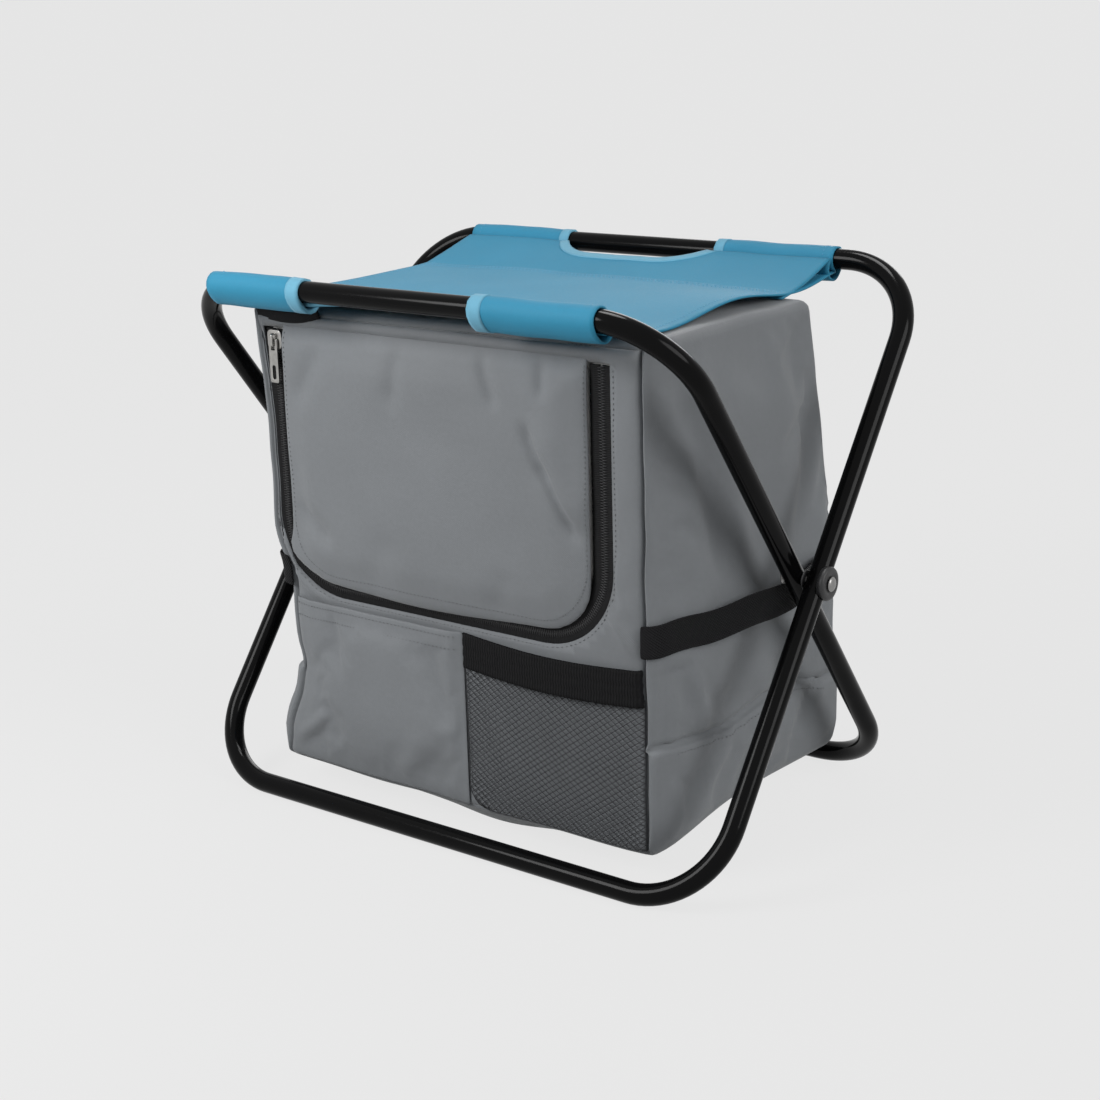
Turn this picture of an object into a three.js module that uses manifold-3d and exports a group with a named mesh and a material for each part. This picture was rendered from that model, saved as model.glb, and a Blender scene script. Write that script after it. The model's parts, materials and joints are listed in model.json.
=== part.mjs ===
// Folding cooler stool: two crossing loops of bent steel tube, a cloth seat slung between
// their top bars, and an insulated bag with a zipped front flap that hangs inside the frame.
// Millimetres, +Z up, the front of the stool towards -Y. The origin is on the floor, midway
// between the two foot bars.

import * as THREE from 'three';
import { mergeVertices } from 'three/addons/utils/BufferGeometryUtils.js';
import Module from 'manifold-3d';

const wasm = await Module();
wasm.setup();

// Clearances
const FIT = 0.3; // between neighbouring pieces
const SPACER_FIT = 0.15; // each face of a pivot spacer
const PIN_FIT = 0.3; // round a rivet's shank
const ZIP_FIT = 0.2; // slider on the coils

// Frame loops
const TUBE_D = 13;
const TUBE_WALL = 1;
const BEND_R = 52; // centreline of the loops' corners
const LEG_TILT = THREE.MathUtils.degToRad(37.48); // from the vertical
const LEG_LOWER = 203.5; // pivot to foot bar, along the leg
const LEG_UPPER = 211.7; // pivot to top bar, along the leg
const OUTER_HALF_WIDTH = 195.5; // to the outer leg's centreline
const LOOP_GAP = 1.85; // between the crossing legs
const TUBE_SIDES = 16;
const BORE_SIDES = 10;
const BEND_STEPS = 7;

// Pivots
const RIVET_D = 5;
const RIVET_HEAD_D = 9;
const RIVET_HEAD_H = 1.8;
const RIVET_CROWN_D = 5; // flat of a head's dome
const CAP_D = 20.5;
const CAP_T = 2.4; // over the tube's crown
const CAP_WRAP = 3; // reach of the saddle down the tube's side
const CAP_BEVEL = 1;
const SPACER_D = 12;
const ROUND_SIDES = 24;

// Seat sling
const SEAT_WIDTH = 288;
const SEAT_SHIFT = -8; // the cloth sits a little to the left on its bars
const SEAT_CLOTH_T = 2;
const SEAT_DIP = 16; // the flat middle hangs this far below the bars' centres
const SLEEVE_SLACK = 7.2; // loose room in a sleeve, down along the leg
const SEAM_FRONT = 44; // from the front bar to the sleeve's seam
const SEAM_BACK = 69;
const SEAM_W = 8;
const CUT_FRONT_W = 129; // hand cut-outs
const CUT_FRONT_SHIFT = -12.5;
const CUT_BACK_W = 111;
const CUT_BACK_SHIFT = -9.5;
const CUT_DEPTH = 29; // from the bar's centre
const CUT_CORNER_R = 20;
const SLEEVE_STEPS = 16;

// Bag
const BAG_WIDTH = 298;
const BAG_LIFT = 4; // base above the foot bars
const BAG_FRONT = 100.7; // front face, ahead of the pivots
const BAG_BACK = 112; // lower back face, behind the pivots
const BAG_BACK_TOP = 75; // back edge of the top
const BAG_KNEE_H = 113; // height on the bag where its back starts to lean forward
const BAG_CORNER_R = 8;
const CLOTH_T = 1.5;
const FOAM_T = 5;
const FOIL_T = 0.8;
const CORNER_STEPS = 6;

// Flap and zip
const RIM_H = 13; // strip of front panel above the flap's top seam
const FLAP_H = 164; // top seam to the zip's lower run
const ZIP_MARGIN_LEFT = 10; // side seam to the zip's centreline
const ZIP_MARGIN_RIGHT = 25.5;
const ZIP_CORNER_R = 45;
const ZIP_SLIT = 1.2; // between the two rows of coil
const TAPE_W = 7.4;
const TAPE_T = 1;
const COIL_W = 2.6;
const COIL_T = 2.8;
const TAPE_END = 2; // the tapes stop this far below the top seam
const FOAM_MARGIN = 2; // the flap's foam stays inside its panel
const FOAM_DROP = 4; // and below its top seam

// Zip slider and pull
const SLIDER_W = 11.7;
const SLIDER_L = 12;
const SLIDER_T = 1.2;
const SLIDER_POST_T = 0.7;
const SLIDER_POST_L = 4;
const SLIDER_CORNER_R = 3;
const BAIL_W = 2.4;
const BAIL_T = 1;
const BAIL_SPAN = 8; // outside length of the bail
const BAIL_ROOM = 2.4; // height under the bail
const PULL_L = 27.5;
const PULL_W = 7;
const PULL_T = 1.1;
const PULL_EYE_L = 6; // slot that takes the bail
const PULL_BAR = 1.2; // bar that turns under the bail
const PULL_HOLE_L = 9; // oval hole near the lower end
const PULL_HOLE_W = 3;
const PULL_FIT = 0.4; // bail in the pull's slot, each side

// Pockets
const POCKET_DROP = 2; // zip tape to the pockets' top edge
const POCKET_SPLIT = 11.5; // where the flat pocket ends and the mesh starts
const POCKET_T = 1.5;
const ELASTIC_H = 22;
const ELASTIC_T = 2;
const MESH_PITCH_X = 10;
const MESH_PITCH_Z = 8.4;
const MESH_STRAND = 1.3;
const MESH_HEM = 3;

// Side straps
const STRAP_W = 20;
const STRAP_T = 1.6;
const STRAP_DROP = 18; // pivot to the strap's middle
const STRAP_SEWN = 22; // stretch sewn to the bag's side at each end
const STRAP_END = 6; // from the bag's back corner to the strap's end
const STRAP_STEPS = 8;

// Sizes that follow
const TUBE_R = TUBE_D / 2;
const TUBE_CORNER_R = TUBE_R / Math.cos(Math.PI / TUBE_SIDES); // over the tube's edges
const INNER_HALF_WIDTH = OUTER_HALF_WIDTH - TUBE_D - LOOP_GAP;
const PIVOT_Z = LEG_LOWER * Math.cos(LEG_TILT) + TUBE_R;
const BAR_Y = LEG_UPPER * Math.sin(LEG_TILT);
const BAR_Z = PIVOT_Z + LEG_UPPER * Math.cos(LEG_TILT);
const BAG_HALF = BAG_WIDTH / 2;
const BAG_TOP_Z = BAR_Z - SEAT_DIP;
const BAG_BASE_Z = TUBE_D + BAG_LIFT;
const BAG_HEIGHT = BAG_TOP_Z - BAG_BASE_Z;
const FRONT_HALF = BAG_HALF - BAG_CORNER_R; // flat part of the front
const SKIN = CLOTH_T + FIT; // outer cloth and its clearance
const WALL = SKIN + FOAM_T + FIT; // cloth and foam
const FLAP_Z = BAG_TOP_Z - RIM_H;
const ZIP_LEFT_X = ZIP_MARGIN_LEFT - FRONT_HALF;
const ZIP_RIGHT_X = FRONT_HALF - ZIP_MARGIN_RIGHT;
const ZIP_LOW_Z = FLAP_Z - FLAP_H;
const TAPE_IN = ZIP_SLIT / 2; // from the zip's centreline
const TAPE_OUT = TAPE_IN + TAPE_W;
const ZIP_Y = -BAG_FRONT + CLOTH_T / 2; // middle of the tapes' thickness

const MATERIALS = {
  tube: new THREE.MeshStandardMaterial({ color: 0x131315, roughness: 0.28, metalness: 0.1 }),
  rivet: new THREE.MeshStandardMaterial({ color: 0x9b9a97, roughness: 0.35, metalness: 0.9 }),
  plastic: new THREE.MeshStandardMaterial({ color: 0x17171a, roughness: 0.5, metalness: 0 }),
  seat: new THREE.MeshStandardMaterial({ color: 0x3a9ccb, roughness: 0.7, metalness: 0 }),
  bag: new THREE.MeshStandardMaterial({ color: 0x66696c, roughness: 0.85, metalness: 0 }),
  foam: new THREE.MeshStandardMaterial({ color: 0xdadad6, roughness: 0.95, metalness: 0 }),
  foil: new THREE.MeshStandardMaterial({ color: 0xc6c9cc, roughness: 0.3, metalness: 0.8 }),
  webbing: new THREE.MeshStandardMaterial({ color: 0x1b1b1d, roughness: 0.9, metalness: 0 }),
  zip: new THREE.MeshStandardMaterial({ color: 0x18181a, roughness: 0.7, metalness: 0 }),
  slider: new THREE.MeshStandardMaterial({ color: 0xa39d93, roughness: 0.35, metalness: 0.9 }),
};

// Closed geometry as a solid that can be joined and cut
function solid(geometry) {
  const bare = new THREE.BufferGeometry();
  bare.setAttribute('position', geometry.getAttribute('position'));
  bare.setIndex(geometry.getIndex());
  const merged = mergeVertices(bare);
  const vertProperties = new Float32Array(merged.getAttribute('position').array);
  const triVerts = new Uint32Array(merged.getIndex().array);
  return new wasm.Manifold(new wasm.Mesh({ numProp: 3, vertProperties, triVerts }));
}

// Solid back to a geometry
function surface(body) {
  const mesh = body.getMesh();
  const geometry = new THREE.BufferGeometry();
  geometry.setAttribute('position', new THREE.BufferAttribute(mesh.vertProperties, 3));
  geometry.setIndex(new THREE.BufferAttribute(mesh.triVerts, 1));
  geometry.computeVertexNormals();
  return geometry;
}

function join(...geometries) {
  return surface(geometries.map(solid).reduce((whole, next) => whole.add(next)));
}

function cut(geometry, ...tools) {
  return surface(tools.map(solid).reduce((rest, tool) => rest.subtract(tool), solid(geometry)));
}

function common(geometry, other) {
  return surface(solid(geometry).intersect(solid(other)));
}

function extrusion(shape, depth) {
  return new THREE.ExtrudeGeometry(shape, { depth, bevelEnabled: false, curveSegments: CORNER_STEPS });
}

// Extrusion of a shape drawn in (y, z), from x0 to x1
function extrudeX(shape, x0, x1) {
  const geometry = extrusion(shape, x1 - x0);
  const axes = new THREE.Matrix4().makeBasis(
    new THREE.Vector3(0, 1, 0),
    new THREE.Vector3(0, 0, 1),
    new THREE.Vector3(1, 0, 0),
  );
  return geometry.applyMatrix4(axes).translate(x0, 0, 0);
}

// Extrusion of a shape drawn in (x, z), from y0 to y1
function extrudeY(shape, y0, y1) {
  return extrusion(shape, y1 - y0).rotateX(Math.PI / 2).translate(0, y1, 0);
}

// Extrusion of a shape drawn in (x, y), from z0 to z1
function extrudeZ(shape, z0, z1) {
  return extrusion(shape, z1 - z0).translate(0, 0, z0);
}

// Piece turned about the X axis, its profile given as (radius, x) from low x to high x
function turned(profile) {
  const points = profile.map(([radius, x]) => new THREE.Vector2(radius, x));
  return new THREE.LatheGeometry(points, ROUND_SIDES).rotateZ(-Math.PI / 2);
}

function rodX(diameter, x0, x1) {
  const rod = new THREE.CylinderGeometry(diameter / 2, diameter / 2, x1 - x0, ROUND_SIDES);
  return rod.rotateZ(-Math.PI / 2).translate((x0 + x1) / 2, 0, 0);
}

function polygon(points) {
  return new THREE.Shape(points.map(([u, v]) => new THREE.Vector2(u, v)));
}

function rectangle(u0, v0, u1, v1) {
  return polygon([[u0, v0], [u1, v0], [u1, v1], [u0, v1]]);
}

function roundedRectangle(u0, v0, u1, v1, r) {
  const shape = new THREE.Shape();
  shape.absarc(u1 - r, v0 + r, r, -Math.PI / 2, 0);
  shape.absarc(u1 - r, v1 - r, r, 0, Math.PI / 2);
  shape.absarc(u0 + r, v1 - r, r, Math.PI / 2, Math.PI);
  shape.absarc(u0 + r, v0 + r, r, Math.PI, Math.PI * 1.5);
  return shape;
}

// Band of even thickness along a line of points
function ribbon(points, thickness) {
  const sides = [1, -1].map((side) => points.map((point, i) => {
    const before = points[Math.max(i - 1, 0)];
    const after = points[Math.min(i + 1, points.length - 1)];
    const along = after.clone().sub(before).normalize();
    return new THREE.Vector2(along.y, -along.x).multiplyScalar(side * thickness / 2).add(point);
  }));
  return new THREE.Shape([...sides[0], ...sides[1].reverse()]);
}

// Convex outline round a set of points
function hull(points) {
  const sorted = [...points].sort((a, b) => a.x - b.x || a.y - b.y);
  const chain = (list) => {
    const line = [];
    for (const p of list) {
      while (line.length > 1) {
        const [a, b] = line.slice(-2);
        const turn = (b.x - a.x) * (p.y - a.y) - (b.y - a.y) * (p.x - a.x);
        if (turn > 0) break;
        line.pop();
      }
      line.push(p);
    }
    return line.slice(0, -1);
  };
  return new THREE.Shape([...chain(sorted), ...chain(sorted.reverse())]);
}

function circlePoints(y, z, radius) {
  return Array.from({ length: SLEEVE_STEPS }, (_, i) => {
    const angle = (i / SLEEVE_STEPS) * 2 * Math.PI;
    return new THREE.Vector2(y + radius * Math.cos(angle), z + radius * Math.sin(angle));
  });
}

const stool = new THREE.Group();

function place(parent, name, geometry, material) {
  const mesh = new THREE.Mesh(geometry, material);
  mesh.name = name;
  parent.add(mesh);
  return mesh;
}

// Right-hand piece and its mirror image on the left
function placePair(parent, name, geometry, material) {
  place(parent, `${name}_right`, geometry, material);
  place(parent, `${name}_left`, geometry, material).scale.x = -1;
}

// Frame loops. Each is drawn in its own plane, with the pivot at the origin and the legs
// along Z, and is then turned about X. One flat of the tube faces the floor at the foot bar.
function loopSurface(halfWidth, radius, sides, flatAngle) {
  const corners = [
    [halfWidth - BEND_R, LEG_UPPER - BEND_R],
    [BEND_R - halfWidth, LEG_UPPER - BEND_R],
    [BEND_R - halfWidth, BEND_R - LEG_LOWER],
    [halfWidth - BEND_R, BEND_R - LEG_LOWER],
  ];
  const positions = [];
  corners.forEach(([cx, cz], quarter) => {
    for (let step = 0; step <= BEND_STEPS; step += 1) {
      const turn = (quarter + step / BEND_STEPS) * Math.PI / 2;
      for (let side = 0; side < sides; side += 1) {
        const angle = flatAngle + ((side + 0.5) / sides) * 2 * Math.PI;
        const reach = BEND_R + radius * Math.cos(angle);
        positions.push(cx + reach * Math.cos(turn), radius * Math.sin(angle), cz + reach * Math.sin(turn));
      }
    }
  });
  const rings = corners.length * (BEND_STEPS + 1);
  const index = [];
  for (let ring = 0; ring < rings; ring += 1) {
    const next = (ring + 1) % rings;
    for (let side = 0; side < sides; side += 1) {
      const beside = (side + 1) % sides;
      const a = ring * sides + side;
      const b = ring * sides + beside;
      const c = next * sides + beside;
      const d = next * sides + side;
      index.push(a, b, c, a, c, d);
    }
  }
  const geometry = new THREE.BufferGeometry();
  geometry.setAttribute('position', new THREE.Float32BufferAttribute(positions, 3));
  geometry.setIndex(index);
  return geometry;
}

function frameTube(halfWidth, flatAngle) {
  const boreR = TUBE_R - TUBE_WALL;
  const holeD = RIVET_D + 2 * PIN_FIT;
  const reach = TUBE_D;
  return cut(
    loopSurface(halfWidth, TUBE_CORNER_R, TUBE_SIDES, flatAngle),
    loopSurface(halfWidth, boreR, BORE_SIDES, flatAngle),
    rodX(holeD, halfWidth - reach, halfWidth + reach),
    rodX(holeD, -halfWidth - reach, reach - halfWidth),
  );
}

const outerFrame = new THREE.Group();
outerFrame.position.z = PIVOT_Z;
outerFrame.rotation.x = -LEG_TILT;
stool.add(outerFrame);
place(outerFrame, 'outer_frame_tube', frameTube(OUTER_HALF_WIDTH, LEG_TILT), MATERIALS.tube);

const innerFrame = new THREE.Group();
innerFrame.position.z = PIVOT_Z;
innerFrame.rotation.x = LEG_TILT;
stool.add(innerFrame);
place(innerFrame, 'inner_frame_tube', frameTube(INNER_HALF_WIDTH, -LEG_TILT), MATERIALS.tube);

// Pivots. A rivet goes through both legs, with a spacer between them and a moulded cap that
// saddles the outer leg under the rivet's domed head.
const CAP_FACE_X = OUTER_HALF_WIDTH + TUBE_CORNER_R + CAP_T;

function pivotCap() {
  const low = OUTER_HALF_WIDTH + TUBE_CORNER_R - CAP_WRAP;
  const disc = turned([
    [0, low],
    [CAP_D / 2, low],
    [CAP_D / 2, CAP_FACE_X - CAP_BEVEL],
    [CAP_D / 2 - CAP_BEVEL, CAP_FACE_X],
    [0, CAP_FACE_X],
  ]);
  const saddleR = TUBE_CORNER_R + FIT;
  const leg = new THREE.CylinderGeometry(saddleR, saddleR, 2 * CAP_D, ROUND_SIDES);
  leg.rotateX(Math.PI / 2).translate(OUTER_HALF_WIDTH, 0, 0);
  return cut(disc, leg, rodX(RIVET_D + 2 * PIN_FIT, low - CAP_T, CAP_FACE_X + CAP_T));
}

function pivotRivet() {
  const shank = RIVET_D / 2;
  const head = RIVET_HEAD_D / 2;
  const crown = RIVET_CROWN_D / 2;
  const inner = INNER_HALF_WIDTH - TUBE_CORNER_R - FIT;
  const outer = CAP_FACE_X + FIT;
  return turned([
    [0, inner - RIVET_HEAD_H],
    [crown, inner - RIVET_HEAD_H],
    [head, inner - RIVET_HEAD_H / 2],
    [head, inner],
    [shank, inner],
    [shank, outer],
    [head, outer],
    [head, outer + RIVET_HEAD_H / 2],
    [crown, outer + RIVET_HEAD_H],
    [0, outer + RIVET_HEAD_H],
  ]);
}

function pivotSpacer() {
  const low = INNER_HALF_WIDTH + TUBE_CORNER_R + SPACER_FIT;
  const high = OUTER_HALF_WIDTH - TUBE_CORNER_R - SPACER_FIT;
  const bore = RIVET_D / 2 + PIN_FIT;
  return turned([
    [bore, low],
    [SPACER_D / 2, low],
    [SPACER_D / 2, high],
    [bore, high],
    [bore, low],
  ]);
}

for (const [side, turn] of [['right', 0], ['left', Math.PI]]) {
  const pivot = new THREE.Group();
  pivot.rotation.z = turn;
  outerFrame.add(pivot);
  place(pivot, `pivot_cap_${side}`, pivotCap(), MATERIALS.plastic);
  place(pivot, `pivot_rivet_${side}`, pivotRivet(), MATERIALS.rivet);
  place(pivot, `pivot_spacer_${side}`, pivotSpacer(), MATERIALS.plastic);
}

// Seat sling. The cloth goes over each top bar, back under it and is sewn to itself, so each
// sleeve has a teardrop section. A rounded cut-out in each sleeve bares the bar as a handle.
const SEAT_LOW_Z = BAG_TOP_Z + FIT;
const SEAT_TOP_Z = SEAT_LOW_Z + SEAT_CLOTH_T;

function sleeveSection(side, seam, grow) {
  const r = TUBE_CORNER_R + FIT + grow;
  const slackY = side * (BAR_Y - SLEEVE_SLACK * Math.sin(LEG_TILT));
  const slackZ = BAR_Z - SLEEVE_SLACK * Math.cos(LEG_TILT);
  const tip = grow > 0 ? seam : seam - SEAM_W;
  const tipY = side * (BAR_Y - tip);
  const middle = (SEAT_LOW_Z + SEAT_TOP_Z) / 2;
  return hull([
    ...circlePoints(side * BAR_Y, BAR_Z, r),
    ...circlePoints(slackY, slackZ, r),
    new THREE.Vector2(tipY, middle + grow / 2),
    new THREE.Vector2(tipY, middle - grow / 2),
  ]);
}

function handCutOut(width, shift) {
  const outside = BAR_Y + 2 * TUBE_D;
  const inside = BAR_Y - CUT_DEPTH;
  const r = CUT_CORNER_R;
  const shape = new THREE.Shape();
  shape.moveTo(shift - width / 2, -outside);
  shape.lineTo(shift + width / 2, -outside);
  shape.absarc(shift + width / 2 - r, -inside - r, r, 0, Math.PI / 2);
  shape.absarc(shift - width / 2 + r, -inside - r, r, Math.PI / 2, Math.PI);
  return extrudeZ(shape, SEAT_LOW_Z - TUBE_D, BAR_Z + 2 * TUBE_D);
}

function seatSling() {
  const x0 = SEAT_SHIFT - SEAT_WIDTH / 2;
  const x1 = SEAT_SHIFT + SEAT_WIDTH / 2;
  const past = SEAM_W;
  const flatFront = SEAM_FRONT - SEAM_W / 2 - BAR_Y;
  const flatBack = BAR_Y - SEAM_BACK + SEAM_W / 2;
  const flat = rectangle(flatFront, SEAT_LOW_Z, flatBack, SEAT_TOP_Z);
  const whole = join(
    extrudeX(flat, x0, x1),
    extrudeX(sleeveSection(-1, SEAM_FRONT, SEAT_CLOTH_T), x0, x1),
    extrudeX(sleeveSection(1, SEAM_BACK, SEAT_CLOTH_T), x0, x1),
  );
  return cut(
    whole,
    extrudeX(sleeveSection(-1, SEAM_FRONT, 0), x0 - past, x1 + past),
    extrudeX(sleeveSection(1, SEAM_BACK, 0), x0 - past, x1 + past),
    handCutOut(CUT_FRONT_W, CUT_FRONT_SHIFT),
    handCutOut(CUT_BACK_W, -CUT_BACK_SHIFT).rotateZ(Math.PI),
  );
}

place(stool, 'seat_sling', seatSling(), MATERIALS.seat);

// Bag shell. Its side outline stands upright at the front and leans forward above a knee at
// the back. Each layer is this outline drawn in by the layers outside it.
const LEAN = new THREE.Vector2(BAG_HEIGHT - BAG_KNEE_H, BAG_BACK - BAG_BACK_TOP).normalize();
const LEAN_REACH = LEAN.x * BAG_BACK + LEAN.y * (BAG_BASE_Z + BAG_KNEE_H);

function backKnee(inset) {
  const y = BAG_BACK - inset;
  return [y, (LEAN_REACH - inset - LEAN.x * y) / LEAN.y];
}

function backAt(z, inset) {
  return (LEAN_REACH - inset - LEAN.y * z) / LEAN.x;
}

function bagOutline(front, base, top, back) {
  const low = BAG_BASE_Z + base;
  const high = BAG_TOP_Z - top;
  return polygon([
    [front - BAG_FRONT, low],
    [BAG_BACK - back, low],
    backKnee(back),
    [backAt(high, back), high],
    [front - BAG_FRONT, high],
  ]);
}

function backSheet(inset, thickness) {
  const low = BAG_BASE_Z + SKIN;
  const high = BAG_TOP_Z - SKIN;
  const inner = inset + thickness;
  return polygon([
    [BAG_BACK - inset, low],
    backKnee(inset),
    [backAt(high, inset), high],
    [backAt(high, inner), high],
    backKnee(inner),
    [BAG_BACK - inner, low],
  ]);
}

// Flat sheet of the top or base, with the bag's rounded front corners
function levelSheet(back) {
  const r = BAG_CORNER_R;
  const shape = new THREE.Shape();
  shape.absarc(r - BAG_HALF, r - BAG_FRONT, r, Math.PI, Math.PI * 1.5);
  shape.absarc(BAG_HALF - r, r - BAG_FRONT, r, Math.PI * 1.5, Math.PI * 2);
  shape.lineTo(BAG_HALF, back);
  shape.lineTo(-BAG_HALF, back);
  return shape;
}

// Side panel in plan: along the side and round the front corner to the front seam
function sidePlan() {
  const r = BAG_CORNER_R;
  const seam = FRONT_HALF + FIT;
  const shape = new THREE.Shape();
  shape.moveTo(seam, -BAG_FRONT);
  shape.absarc(FRONT_HALF, r - BAG_FRONT, r, -Math.PI / 2, 0);
  shape.lineTo(BAG_HALF, BAG_BACK);
  shape.lineTo(BAG_HALF - CLOTH_T, BAG_BACK);
  shape.absarc(FRONT_HALF, r - BAG_FRONT, r - CLOTH_T, 0, -Math.PI / 2, true);
  shape.lineTo(seam, CLOTH_T - BAG_FRONT);
  return shape;
}

function sidePanel() {
  const upright = extrudeZ(sidePlan(), BAG_BASE_Z, BAG_TOP_Z);
  return common(upright, extrudeX(bagOutline(0, SKIN, SKIN, SKIN), 0, BAG_WIDTH));
}

const bag = new THREE.Group();
stool.add(bag);
const FOAM_HALF = BAG_HALF - SKIN;
const sideFoam = extrudeX(bagOutline(WALL, WALL, WALL, WALL), FOAM_HALF - FOAM_T, FOAM_HALF);
placePair(bag, 'bag_side_panel', sidePanel(), MATERIALS.bag);
placePair(bag, 'side_insulation', sideFoam, MATERIALS.foam);

const topSheet = levelSheet(BAG_BACK_TOP);
const baseSheet = levelSheet(BAG_BACK);
place(bag, 'bag_top_panel', extrudeZ(topSheet, BAG_TOP_Z - CLOTH_T, BAG_TOP_Z), MATERIALS.bag);
place(bag, 'bag_base_panel', extrudeZ(baseSheet, BAG_BASE_Z, BAG_BASE_Z + CLOTH_T), MATERIALS.bag);

function levelFoam(low, back) {
  const plan = rectangle(-FOAM_HALF, WALL - BAG_FRONT, FOAM_HALF, back);
  return extrudeZ(plan, low, low + FOAM_T);
}

const topFoamLow = BAG_TOP_Z - SKIN - FOAM_T;
place(bag, 'top_insulation', levelFoam(topFoamLow, backAt(BAG_TOP_Z - SKIN, WALL)), MATERIALS.foam);
place(bag, 'base_insulation', levelFoam(BAG_BASE_Z + SKIN, BAG_BACK - WALL), MATERIALS.foam);

place(bag, 'bag_back_panel', extrudeX(backSheet(0, CLOTH_T), -BAG_HALF, BAG_HALF), MATERIALS.bag);
place(bag, 'back_insulation', extrudeX(backSheet(SKIN, FOAM_T), -FOAM_HALF, FOAM_HALF), MATERIALS.foam);

// Flap outline: straight top seam, straight sides and rounded lower corners, at a distance
// inside the zip's centreline
function flapOutline(inset, top) {
  const left = ZIP_LEFT_X + inset;
  const right = ZIP_RIGHT_X - inset;
  const low = ZIP_LOW_Z + inset;
  const r = ZIP_CORNER_R - inset;
  const shape = new THREE.Shape();
  shape.moveTo(right, top);
  shape.lineTo(left, top);
  shape.absarc(left + r, low + r, r, Math.PI, Math.PI * 1.5);
  shape.absarc(right - r, low + r, r, -Math.PI / 2, 0);
  return shape;
}

const FRONT_LOW = BAG_BASE_Z + SKIN;
const FRONT_HIGH = BAG_TOP_Z - SKIN;

function frontSheet(outside, thickness) {
  const sheet = rectangle(-FRONT_HALF, FRONT_LOW, FRONT_HALF, FRONT_HIGH);
  sheet.holes.push(flapOutline(-TAPE_OUT - FIT, FLAP_Z));
  return extrudeY(sheet, outside - BAG_FRONT, outside + thickness - BAG_FRONT);
}

place(bag, 'bag_front_panel', frontSheet(0, CLOTH_T), MATERIALS.bag);
place(bag, 'front_insulation', frontSheet(SKIN, FOAM_T), MATERIALS.foam);

// Foil liner: one box-shaped lining inside the foam, open at the flap
function foilLiner() {
  const half = BAG_HALF - WALL;
  const inside = WALL + FOIL_T;
  const doorway = flapOutline(-TAPE_OUT - FIT, FLAP_Z);
  return cut(
    extrudeX(bagOutline(WALL, WALL, WALL, WALL), -half, half),
    extrudeX(bagOutline(inside, inside, inside, inside), FOIL_T - half, half - FOIL_T),
    extrudeY(doorway, -BAG_FRONT, inside + FOIL_T - BAG_FRONT),
  );
}

place(bag, 'foil_liner', foilLiner(), MATERIALS.foil);

// Flap: outer cloth, foam and foil lining
const flap = new THREE.Group();
bag.add(flap);
const flapCloth = flapOutline(TAPE_OUT + FIT, FLAP_Z - FIT);
const flapPad = flapOutline(TAPE_OUT + FIT + FOAM_MARGIN, FLAP_Z - FOAM_DROP);

function flapLayer(outline, outside, thickness) {
  return extrudeY(outline, outside - BAG_FRONT, outside + thickness - BAG_FRONT);
}

place(flap, 'flap_panel', flapLayer(flapCloth, 0, CLOTH_T), MATERIALS.bag);
place(flap, 'flap_insulation', flapLayer(flapPad, SKIN, FOAM_T), MATERIALS.foam);
place(flap, 'flap_lining', flapLayer(flapPad, WALL, FOIL_T), MATERIALS.foil);

// Zip: a tape with a thicker row of coil along its edge, on the bag and on the flap. The
// flap's tape stops under the parked slider.
const SLIDER_Z = FLAP_Z - TAPE_END - SLIDER_L / 2;

function zipStrip(near, far, thickness, top) {
  const outside = flapOutline(Math.min(near, far), top);
  const inside = flapOutline(Math.max(near, far), top + TAPE_END);
  return cut(
    extrudeY(outside, ZIP_Y - thickness / 2, ZIP_Y + thickness / 2),
    extrudeY(inside, ZIP_Y - thickness, ZIP_Y + thickness),
  );
}

function zipRow(side, top) {
  const tape = zipStrip(side * TAPE_IN, side * TAPE_OUT, TAPE_T, top);
  const coil = zipStrip(side * TAPE_IN, side * (TAPE_IN + COIL_W), COIL_T, top);
  return join(tape, coil);
}

place(bag, 'zip_tape_body', zipRow(-1, FLAP_Z - TAPE_END), MATERIALS.zip);
place(flap, 'zip_tape_flap', zipRow(1, SLIDER_Z - SLIDER_L / 2 - FIT), MATERIALS.zip);

// Zip slider: two wings joined by a post in the slit, and a bail for the pull. It is drawn
// round the middle of the coils.
const slider = new THREE.Group();
slider.position.set(ZIP_LEFT_X, ZIP_Y, SLIDER_Z);
bag.add(slider);
const WING_Y = COIL_T / 2 + ZIP_FIT; // near face of a wing
const BAIL_Y = -(WING_Y + SLIDER_T + BAIL_ROOM / 2); // axis of the pull

function zipSlider() {
  const wing = roundedRectangle(-SLIDER_W / 2, -SLIDER_L / 2, SLIDER_W / 2, SLIDER_L / 2, SLIDER_CORNER_R);
  const post = rectangle(-SLIDER_POST_T / 2, 0, SLIDER_POST_T / 2, SLIDER_POST_L);
  const front = -(WING_Y + SLIDER_T);
  const arch = polygon([
    [front + SLIDER_T / 2, -BAIL_SPAN / 2],
    [front - BAIL_ROOM, -BAIL_SPAN / 2],
    [front - BAIL_ROOM - BAIL_T, -BAIL_SPAN / 2 + BAIL_T],
    [front - BAIL_ROOM - BAIL_T, BAIL_SPAN / 2 - BAIL_T],
    [front - BAIL_ROOM, BAIL_SPAN / 2],
    [front + SLIDER_T / 2, BAIL_SPAN / 2],
  ]);
  const room = rectangle(front - BAIL_ROOM, BAIL_T - BAIL_SPAN / 2, front, BAIL_SPAN / 2 - BAIL_T);
  const bail = cut(extrudeX(arch, -BAIL_W / 2, BAIL_W / 2), extrudeX(room, -BAIL_W, BAIL_W));
  return join(
    extrudeY(wing, -WING_Y - SLIDER_T, -WING_Y),
    extrudeY(wing, WING_Y, WING_Y + SLIDER_T),
    extrudeY(post, -WING_Y - SLIDER_T / 2, WING_Y + SLIDER_T / 2),
    bail,
  );
}

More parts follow.
